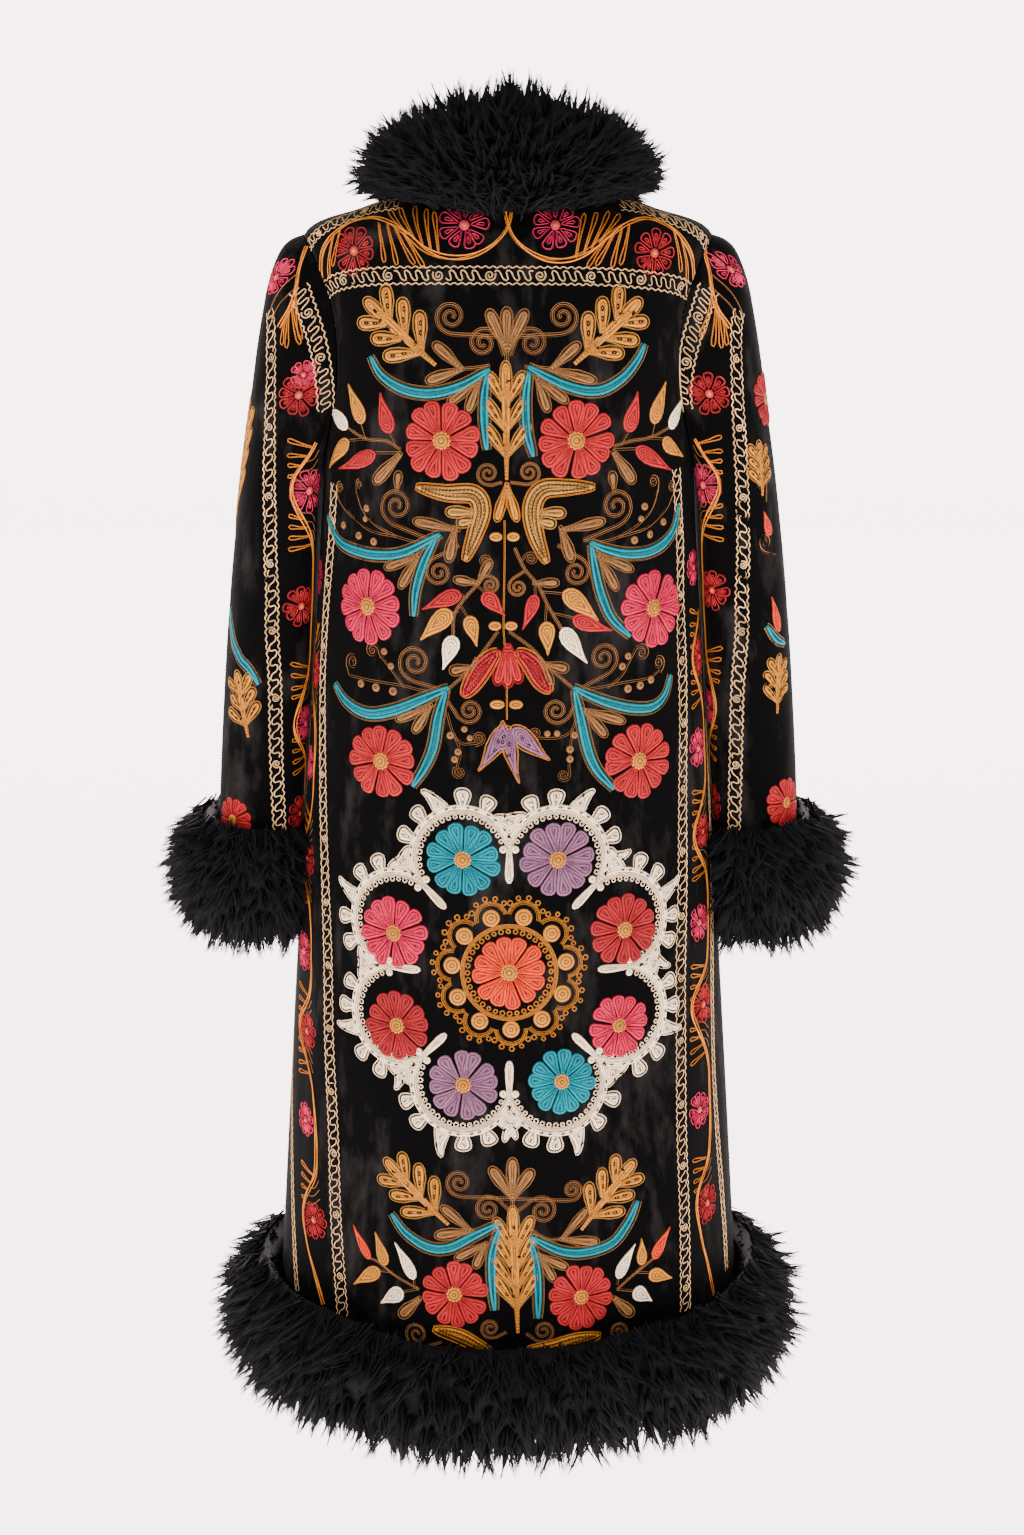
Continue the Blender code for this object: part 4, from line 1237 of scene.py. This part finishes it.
BORDERS = [
    ([(-206, 34), (-180, 18), (-155, 7), (-132, -1), (-104, -5)], 9.5, 46),
    ([(107, -4), (132, 0), (155, 9), (182, 20), (206, 36)], 9.5, 46),
    ([(-196, 82), (-180, 71), (-153, 63), (-117, 59), (-71, 58), (0, 58), (74, 59), (120, 62),
        (155, 67), (180, 74), (198, 86)], 14.5, 46),
    ([(-186, 250), (-190, 290), (-197, 340), (-204, 420), (-203, 472), (-199, 547), (-193, 621),
        (-188, 697), (-186, 775), (-181, 860), (-179, 949), (-173, 1041)], 12, 60),
    ([(173, 235), (178, 300), (180, 393), (180, 468), (177, 543), (176, 619), (174, 695),
        (174, 771), (174, 858), (177, 945), (178, 1035)], 12, 60),
    ([(-262, 480), (-280, 600), (-284, 746), (-278, 818), (-267, 884), (-257, 951),
        (-246, 1017), (-240, 1042)], 7.5, 50),
    ([(250, 480), (246, 560), (241, 652), (236, 733), (236, 806), (243, 877), (253, 949),
        (261, 1022)], 8.5, 50),
]
SIDE_VINES = [
    ([(-226, 300), (-232, 400), (-237, 500), (-239, 600), (-236, 700), (-231, 790), (-222, 880),
        (-214, 960), (-208, 1035)], (340, 430, 520, 610, 700, 775, 862, 955)),
    ([(212, 300), (214, 400), (213, 500), (211, 600), (207, 700), (205, 790), (207, 880),
        (212, 960), (216, 1035)], (330, 415, 500, 580, 665, 745, 845, 940)),
]
FRONT_BORDERS = [
    ([(9, 68), (9, 300), (10, 600), (10, 1035)], 12, 60),
    ([(178, 92), (172, 140), (176, 210), (182, 300), (190, 393), (196, 543), (200, 695),
        (206, 858), (214, 1035)], 12, 60),
    ([(12, 118), (60, 113), (110, 110), (160, 104), (196, 92)], 13, 46),
]
FRONT_VINES = [
    ([(20, 92), (24, 93), (190, 60)], (60,)),
    ([(214, 300), (222, 500), (230, 700), (240, 880),
        (248, 1035)], (335, 425, 515, 605, 695, 785, 875, 965)),
]
SLEEVE_WORK = {
    "left": (
        [(50, 92), (60, 112), (70, 160), (80, 230), (88, 310), (96, 390), (103, 494), (109, 588)],
        [(92, 116), (106, 180), (117, 250), (123, 330), (129, 410), (136, 500), (140, 590)],
        (168, 257, 365, 481, 570),
        [
            (lobed_leaf, (19, 300), (25, 170), 17, 4, "gold"),
            (band, [(30, 372), (60, 414), (72, 424), (84, 440)], 9, "turquoise"),
            (lobed_leaf, (76, 492), (58, 430), 15, 3, "gold"),
            (rosette, (60, 574), 22, "coral"),
            (blossom, (43, 62), 18, "wine"),
            (blossom, (102, 149), 13, "wine"),
            (scroll_border, [(75, 71), (93, 93), (106, 113), (116, 136), (123, 161),
                (127, 182)], 15, 46),
            (vine, [(46, 32), (58, 46), (71, 68), (75, 89), (70, 107)]),
            (spray, (74, 75), (97, 117)),
            (spray, (75, 84), (92, 123)),
            (spray, (75, 91), (84, 125)),
            (spray, (74, 98), (75, 123)),
            (stem, [(66, 58), (56, 76), (50, 98)], 1.6, "brown"),
            (stem, [(72, 72), (62, 88), (58, 104)], 1.6, "brown"),
        ],
    ),
    "right": (
        [(62, 92), (72, 112), (80, 160), (86, 228), (90, 300), (97, 374), (104, 450),
            (109, 520), (112, 588)],
        [(98, 112), (112, 172), (122, 246), (126, 322), (132, 398), (146, 500), (150, 590)],
        (166, 252, 350, 466, 560),
        [
            (rosette, (34, 174), 26, "red"),
            (blossom, (50, 55), 18, "wine"),
            (scroll_border, [(83, 71), (100, 92), (114, 114), (124, 136), (131, 161),
                (133, 180)], 15, 46),
            (vine, [(54, 32), (66, 46), (79, 68), (84, 89), (78, 107)]),
            (spray, (82, 75), (105, 117)),
            (spray, (83, 84), (100, 123)),
            (spray, (84, 91), (92, 125)),
            (spray, (82, 98), (83, 123)),
            (stem, [(74, 58), (64, 76), (58, 98)], 1.6, "brown"),
            (stem, [(80, 72), (70, 88), (66, 104)], 1.6, "brown"),
            (lobed_leaf, (66, 262), (62, 212), 13, 3, "gold"),
            (curl, (62, 268), (66, 250), 8, 1, 2.4, "brown"),
            (curl, (50, 320), (66, 306), 9, -1, 2.4, "brown"),
            (petal, (58, 300), (66, 276), 12, "orange", DROP),
            (petal, (56, 392), (62, 356), 13, "orange", DROP),
            (band, [(48, 404), (62, 398), (74, 384)], 8, "turquoise"),
            (lobed_leaf, (64, 470), (58, 414), 13, 3, "gold"),
            (rosette, (56, 558), 25, "coral"),
        ],
    ),
}


def field(work, least=-999):
    """The large motifs, or the half of them beyond a line as they stand on a front."""

    def on_it(table, *columns):
        return [row for row in table if all(row[k] > least for k in columns)]

    for across, down, radius, thread in on_it(BACK_ROSETTES, 0):
        rosette(work, (across, down), radius * 0.98, thread)
    for x0, y0, x1, y1, wide, thread in on_it(BACK_BUDS, 0, 2):
        bend = 0.12 * work.hand.choice((-1, 1))
        petal(work, (x0, y0), (x1, y1), wide * 0.92, thread, DROP, None, bend, 1.3)
        middle, turn = ((x0 + x1) / 2, (y0 + y1) / 2), math.atan2(y1 - y0, x1 - x0)
        pierced(work, middle, wide * 0.2, 0.5, turn, 4)
    for x0, y0, x1, y1, wide, thread in on_it(BACK_FINGERS + BACK_LOBES, 0, 2):
        short = math.hypot(x1 - x0, y1 - y0) < 1.9 * wide
        if thread == "mauve" or (thread == "coral" and wide > 12):
            bend = 0.16 * np.sign(x0 - x1)
            petal(work, (x0, y0), (x1, y1), wide * 0.86, thread, DROP, "gold", bend, 1.2)
            for share in (0.3, 0.5):
                gap = (x0 + (x1 - x0) * share, y0 + (y1 - y0) * share)
                pierced(work, gap, 2.2, 1.5, share * 5)
        else:
            profile, edge = (OVAL, None) if short else (CLUB, thread)
            petal(work, (x0, y0), (x1, y1), wide * 0.80, thread, profile, edge)
    for x0, y0, x1, y1, radius, hand, wide, thread in on_it(BACK_SPIRALS, 0, 2):
        curl(work, (x0, y0), (x1, y1), radius, hand, wide * 1.05, thread)
    for across, down, radius, thread in on_it(BACK_DOTS, 0):
        disc(work, (across, down), radius, thread, 9)
    for x0, y0, x1, y1, spread, tiers, thread in on_it(BACK_LEAVES, 0):
        lobed_leaf(work, (x0, y0), (x1, y1), spread * 1.08, tiers, thread)
    for table, draw in ((BACK_BANDS, band), (BACK_STEMS, stem), (BACK_WINGS, wing)):
        for points, wide, thread in table:
            if min(x for x, _ in points) > least:
                draw(work, points, wide, thread)
    medallion(work, (0, 692), 114.0, 43.5)


turns = np.radians(np.linspace(0.5, 179.5, 260))
back_work = Stitching(Chart(body_face, turns, NECK, math.pi / 2), 11)
field(back_work)
for points, wide, space in BORDERS:
    scroll_border(back_work, points, wide, space)
for points in YOKE_VINES:
    vine(back_work, points)
for across, down, radius, thread in YOKE_FLOWERS:
    blossom(back_work, (across, down), radius, thread)
for x0, y0, x1, y1 in YOKE_SPRAYS:
    spray(back_work, (x0, y0), (x1, y1))
for points, flowers in SIDE_VINES:
    flower_vine(back_work, points, flowers, ("wine", "darkred"))
back_work.make("back_embroidery")
for side, hand, zero, start in (("left", 1, -0.5, -0.5), ("right", -1, 1.5, 1.0)):
    turns = np.radians(np.linspace(0.5, 89.5, 130)) + start * math.pi
    front_chart = Chart(body_face, turns, NECK, zero * math.pi, hand=hand)
    front_work = Stitching(front_chart, 21 + hand)
    field(front_work, 16)
    for points, wide, space in FRONT_BORDERS:
        scroll_border(front_work, points, wide, space)
    for points, flowers in FRONT_VINES:
        flower_vine(front_work, points, flowers, ("wine", "darkred"))
    front_work.make(f"front_embroidery_{side}")
for side, mirror in SIDES.items():
    border, line, flowers, outer = SLEEVE_WORK[side]
    turns = np.radians(np.linspace(-178, 178, 320))
    sleeve_work = Stitching(Chart(sleeve_face, turns, WRIST, 0.0, mirror), 31)
    for sleeve_work.chart.hand in (1, -1):
        scroll_border(sleeve_work, border, 11.2)
        flower_vine(sleeve_work, line, flowers, ("darkred", "wine"), 14.0, 19.0)
        for kind, *given in outer:
            kind(sleeve_work, *given)
    sleeve_work.make(f"sleeve_embroidery_{side}")


# ---------------------------------------------------------------------------------------
# The fur: long black fur on its skin, a standing collar, a band round each wrist and a
# band round the hem, sewn over the velvet's edges. Each is a thick soft roll, combed down
# and outwards, whose hairs lie together in pointed locks.
FUR_GAP = 0.0012
# (along, out) from the cloth's edge in metres: along is up on to the cloth and out away
HEM_ROLL = [
    (0.026, FUR_GAP), (-FUR_GAP, FUR_GAP), (-FUR_GAP, -0.0055), (-0.036, -0.0085),
    (-0.056, -0.0020), (-0.060, 0.0090), (-0.054, 0.0220), (-0.038, 0.0340), (-0.012, 0.0390),
    (0.014, 0.0340), (0.031, 0.0180),
]
CUFF_ROLL = [
    (0.024, FUR_GAP), (-FUR_GAP, FUR_GAP), (-FUR_GAP, -0.0050), (-0.036, -0.0070),
    (-0.062, -0.0030), (-0.072, 0.0050), (-0.066, 0.0180), (-0.048, 0.0290), (-0.018, 0.0320),
    (0.010, 0.0260), (0.030, 0.0110),
]
# shares of the collar's reach and height from the neck's edge
COLLAR_ROLL = [
    (-0.08, 0.3), (-0.06, 0.6), (0.02, 0.8), (0.22, 0.82), (0.46, 0.66), (0.66, 0.42),
    (0.76, 0.14), (0.64, 0.04),
]
COLLAR_SIZES = np.array([(0.050, 0.104), (0.059, 0.054), (0.046, 0.048)])

hair = Finish("black_fur", Roughness=0.60, Specular_IOR_Level=0.10, Sheen_Weight=0.0)
where = hair.node("TexCoord", output=3)
tone = hair.noise(where, 60.0, 3.0, 0.6)
# painted highlight: the hairs' base colour grows lighter towards their tips, mixed with random
# tone
lit = hair.node("Attribute", {"attribute_name": "tipward"}, 2)
lit = (tone * 0.6 + lit * 0.5).clamped()
fur_colour = hair.mix(lit, thread_colour("020203"), thread_colour("17181c"))
hair.set(hair.shader, {"Base Color": fur_colour})
fur = hair.material


def edge_roll(edge, off_edge, outward, on_cloth, profile, swell, rise):
    """Sections of a fur roll, one for each place along the cloth edge that it is sewn to.
    swell thickens its pile side, and rise carries that side further up the cloth."""
    sections = []
    for along, out in profile:
        pile_side = out > FUR_GAP
        stand = out * (swell if pile_side else 1.0) * np.ones(len(edge))
        if along > 0:
            base, normal = on_cloth(along * (rise if pile_side else np.ones(len(edge))))
        else:
            base, normal = edge - off_edge * along, outward
        sections.append(base + normal * stand[:, None])
    return np.stack(sections, axis=1)


def combed(sections, outward, off_edge):
    """Hair that lies out and down at the roll's top, and straight down under it."""
    middle = sections.mean(axis=1, keepdims=True)
    away = unit(sections - middle)
    return unit(away * 0.55 + off_edge[:, None, :] * 0.75 + outward[:, None, :] * 0.15)


HAIRS, BENT_HAIRS, TIP_LEAN = 11, 2, 0.20


def tuft_mesh():
    """One lock: thin three-sided hairs that start apart and lean together to a bent point.
    The two longest have a joint in their middle."""
    shaper = np.random.default_rng(7)
    points, faces, shares = [], [], []
    for number in range(HAIRS):
        root, tip = shaper.normal(0, 0.13, 2), shaper.normal(0, 0.035, 2)
        bent = number < BENT_HAIRS
        long = (1.0, 0.9)[number] if bent else shaper.uniform(0.66, 0.98)
        first = len(points)
        for along, thick in ((0.0, 0.036), (0.55, 0.022))[: 2 if bent else 1]:
            middle = root * (1 - along) + (tip + (TIP_LEAN, 0.0)) * along**2
            for turn in np.arange(3) * 2.0944 + number:
                points.append((*(middle + thick * way_of(turn)), along * long))
                shares.append(along)
        points.append((*(tip + (TIP_LEAN * long**2, 0.0)), long))
        shares.append(1.0)
        end = len(points) - 1
        for corner in range(3):
            a, b = first + corner, first + (corner + 1) % 3
            if bent:
                faces.append((a, b, b + 3, a + 3))
                a, b = a + 3, b + 3
            faces.append((a, b, end))
    made = mesh_object("fur_lock", points, faces)
    give(made.data, "tipward", "FLOAT", shares)
    return made


lock = tuft_mesh()
fur_inputs = (
    ("Skin", "Geometry", None),
    ("Lock", "Object", None),
    ("Locks per square metre", "Float", 9000.0),
    ("Length", "Float", 0.036),
    ("Stand", "Float", 0.30),
    ("Wild", "Float", 0.30),
    ("Seed", "Int", 1),
)
fur_tree = Tree("fur_growing", fur_inputs, "Fur")
add = fur_tree.node
skin_in, lock_in, many_in, length_in, stand_in, wild_in, seed_in, *_ = fur_tree.given
spots = add("GeometryNodeDistributePointsOnFaces", i0=skin_in, Density=many_in, Seed=seed_in)
upward = spots.node.outputs["Normal"]
any_way = {"data_type": "FLOAT_VECTOR"}
wild = add("FunctionNodeRandomValue", any_way, i0=(-1.0,) * 3, i1=(1.0,) * 3, Seed=seed_in)
wild = add("ShaderNodeVectorMath", {"operation": "SCALE"}, i0=wild, Scale=wild_in)
stand = add("ShaderNodeVectorMath", {"operation": "SCALE"}, i0=upward, Scale=stand_in)
comb = fur_tree.named("comb", "FLOAT_VECTOR")
way = add("ShaderNodeVectorMath", {"operation": "ADD"}, i0=comb, i1=stand)
way = add("ShaderNodeVectorMath", {"operation": "ADD"}, i0=way, i1=wild)
lean = add("FunctionNodeAlignRotationToVector", {"axis": "Z"}, i2=way)
spin = add("FunctionNodeRandomValue", {"data_type": "FLOAT"}, 1, i2=0.0, i3=6.283)
twist = add("FunctionNodeAxisAngleToRotation", i0=(0.0, 0.0, 1.0), i1=spin)
turned = add("FunctionNodeRotateRotation", {"rotation_space": "LOCAL"}, i0=lean, i1=twist)
long = add("FunctionNodeRandomValue", {"data_type": "FLOAT"}, 1, i2=0.62, i3=1.15)
size = add("ShaderNodeMath", {"operation": "MULTIPLY"}, i0=length_in, i1=long)
grown = add("GeometryNodeObjectInfo", i0=lock_in).node.outputs["Geometry"]
placed = add(
    "GeometryNodeInstanceOnPoints", i0=spots, Instance=grown, Rotation=turned, Scale=size
)
both = add("GeometryNodeJoinGeometry", i0=[skin_in, placed])
growing = fur_tree.finish(both, fur)


def fur_trim(node, sections, closed_round, comb, locks, length, seed):
    """A trim: the roll that the hair grows on, and its fur, so many locks to a square metre.
    comb gives, for each point of the roll, the way its hair lies."""
    count, size = sections.shape[:2]
    faces = grid_faces(count, size, closed_round, True)
    if not closed_round:
        faces.append(list(range(size)))
        faces.append([(count - 1) * size + j for j in range(size)][::-1])
    made = mesh_object(f"coat_{node}", sections, faces, fur)
    tidy = bmesh.new()
    tidy.from_mesh(made.data)
    bmesh.ops.recalc_face_normals(tidy, faces=tidy.faces)
    tidy.to_mesh(made.data)
    tidy.free()
    give(made.data, "comb", "FLOAT_VECTOR", comb)
    grown = made.modifiers.new("fur", "NODES")
    grown.node_group = growing
    sockets = {s.name: s.identifier for s in growing.interface.items_tree if s.in_out == "INPUT"}
    given = {"Lock": lock, "Locks per square metre": locks, "Length": length, "Seed": seed}
    for key, value in given.items():
        grown[sockets[key]] = value
    plain(made)
    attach(made, "root")
    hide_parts(node)


HEM_STEPS, CUFF_STEPS, COLLAR_STEPS = 150, 60, 110
gap = seam_angle(FRONT_OPENING / 2, -math.pi / 2, 0)
angles = np.linspace(-math.pi / 2 + gap, 1.5 * math.pi - gap, HEM_STEPS)
edge, outward = body_face(angles, 0)
per_level = BODY_SECTIONS[1, 0] - BODY_SECTIONS[0, 0]
off_edge = unit(edge - body_point(angles, 0.01 / per_level))
hem_sections = edge_roll(
    edge,
    off_edge,
    outward,
    lambda along: body_face(angles, along / per_level),
    HEM_ROLL,
    1.0,
    1 + 0.40 * np.cos(angles) ** 2,
)
comb = combed(hem_sections, outward, off_edge)
fur_trim("hem_fur", hem_sections, False, comb, 9500.0, 0.038, 3)

turns = np.arange(CUFF_STEPS) * 2 * math.pi / CUFF_STEPS
edge, outward = sleeve_face(turns, WRIST)
above = sleeve_point(turns, WRIST - 0.2)
off_edge = unit(edge - above)
per_station = np.linalg.norm(edge - above, axis=1) / 0.2
pressed = 0.05 + 0.95 * ease((np.cos(turns) + 1) / 1.2)
cuff_sections = edge_roll(
    edge,
    off_edge,
    outward,
    lambda along: sleeve_face(turns, WRIST - along / per_station),
    CUFF_ROLL,
    pressed,
    np.ones(CUFF_STEPS),
)
for side, mirror in SIDES.items():
    comb = combed(cuff_sections, outward, off_edge) * mirror
    fur_trim(f"cuff_fur_{side}", cuff_sections * mirror, True, comb, 15500.0, 0.032, 5)

gap = seam_angle(FRONT_OPENING / 2, -math.pi / 2, NECK)
angles = np.linspace(-math.pi / 2 + gap, 1.5 * math.pi - gap, COLLAR_STEPS)
across, deep = np.cos(angles), np.sin(angles)
shares = np.stack([np.where(deep >= 0, deep**2, 0), across**2, np.where(deep < 0, deep**2, 0)], 1)
size = shares @ COLLAR_SIZES
from_end = np.minimum(angles - angles[0], angles[-1] - angles)
size = size * (0.72 + 0.28 * ease(from_end / 0.10 / math.pi))[:, None]
edge = body_point(angles, NECK)
radial = np.stack([across, deep, np.zeros_like(across)], 1)
up = np.array([0.0, 0.0, 1.0])
rows = []
for level in (NECK - 0.36, NECK - 0.24, NECK - 0.1):
    base, normal = body_face(angles, level)
    rows.append(base + normal * FUR_GAP)
rows.append(edge + up * FUR_GAP + radial * FUR_GAP)
rows.append(edge + up * FUR_GAP - radial * 0.0035)
for reach, height in COLLAR_ROLL:
    rows.append(edge + radial * (size[:, :1] * reach) + up * (size[:, 1:] * height))
collar_sections = np.stack(rows, axis=1)
middle = collar_sections.mean(axis=1, keepdims=True)
away = unit(collar_sections - middle)
low = np.clip(-away[..., 2:], 0, 1)
comb = away * (0.8 - 0.75 * low) + radial[:, None, :] * (0.40 + 0.3 * low)
comb = unit(comb + up * (0.25 + 0.30 * low))
fur_trim("collar_fur", collar_sections, False, comb, 21000.0, 0.033, 9)
bpy.data.objects.remove(lock)

# ---------------------------------------------------------------------------------------
# The studio: a pale seamless floor and wall, two large soft lights, and the camera behind
# the coat, a little above its middle and looking down at it, as in the photograph.
studio = Finish("pale_studio", Roughness=0.9)
white, glow = thread_colour("f6eeec"), thread_colour("fff3f2")
pale = {"Base Color": white, "Emission Color": glow, "Emission Strength": 4.2}
studio.set(studio.shader, pale)
sweep = [(-9.0, -1.9), (9.0, -1.9), (10.5, -1.6), (11.0, -0.8), (11.2, 7.0)]
backdrop = mesh_object(
    "studio_sweep",
    [(x, -y, z) for x in (-12.0, 12.0) for y, z in sweep],
    [[i, i + 5, i + 6, i + 1] for i in range(4)],
    studio.material,
)

world = bpy.data.worlds.new("studio_light")
world.use_nodes = True
sky = world.node_tree.nodes["Background"].inputs
sky["Color"].default_value, sky["Strength"].default_value = thread_colour("f6f0f0"), 1.0
bpy.context.scene.world = world
for name, place, aim, size, power in (
    ("key_light", (1.9, 2.7, 1.9), (0.0, 0.0, -0.5), 1.8, 70.0),
    ("fill_light", (-2.3, 2.4, 0.9), (0.0, 0.0, -0.5), 2.2, 35.0),
):
    lamp = bpy.data.lights.new(name, "AREA")
    lamp.shape, lamp.size, lamp.energy = "DISK", size, power
    placed = bpy.data.objects.new(name, lamp)
    bpy.context.scene.collection.objects.link(placed)
    placed.location = place
    placed.rotation_euler = (Vector(aim) - Vector(place)).to_track_quat("-Z", "Y").to_euler()

view_data = bpy.data.cameras.new("photo_camera")
view_data.sensor_width = 36.0
view_data.lens = 66.79
view = bpy.data.objects.new("photo_camera", view_data)
view.location = (-0.0035, 2.70, 0.037)
view.rotation_euler = (math.radians(90.0 - 11.9), 0.0, math.pi)
bpy.context.scene.collection.objects.link(view)
bpy.context.scene.camera = view
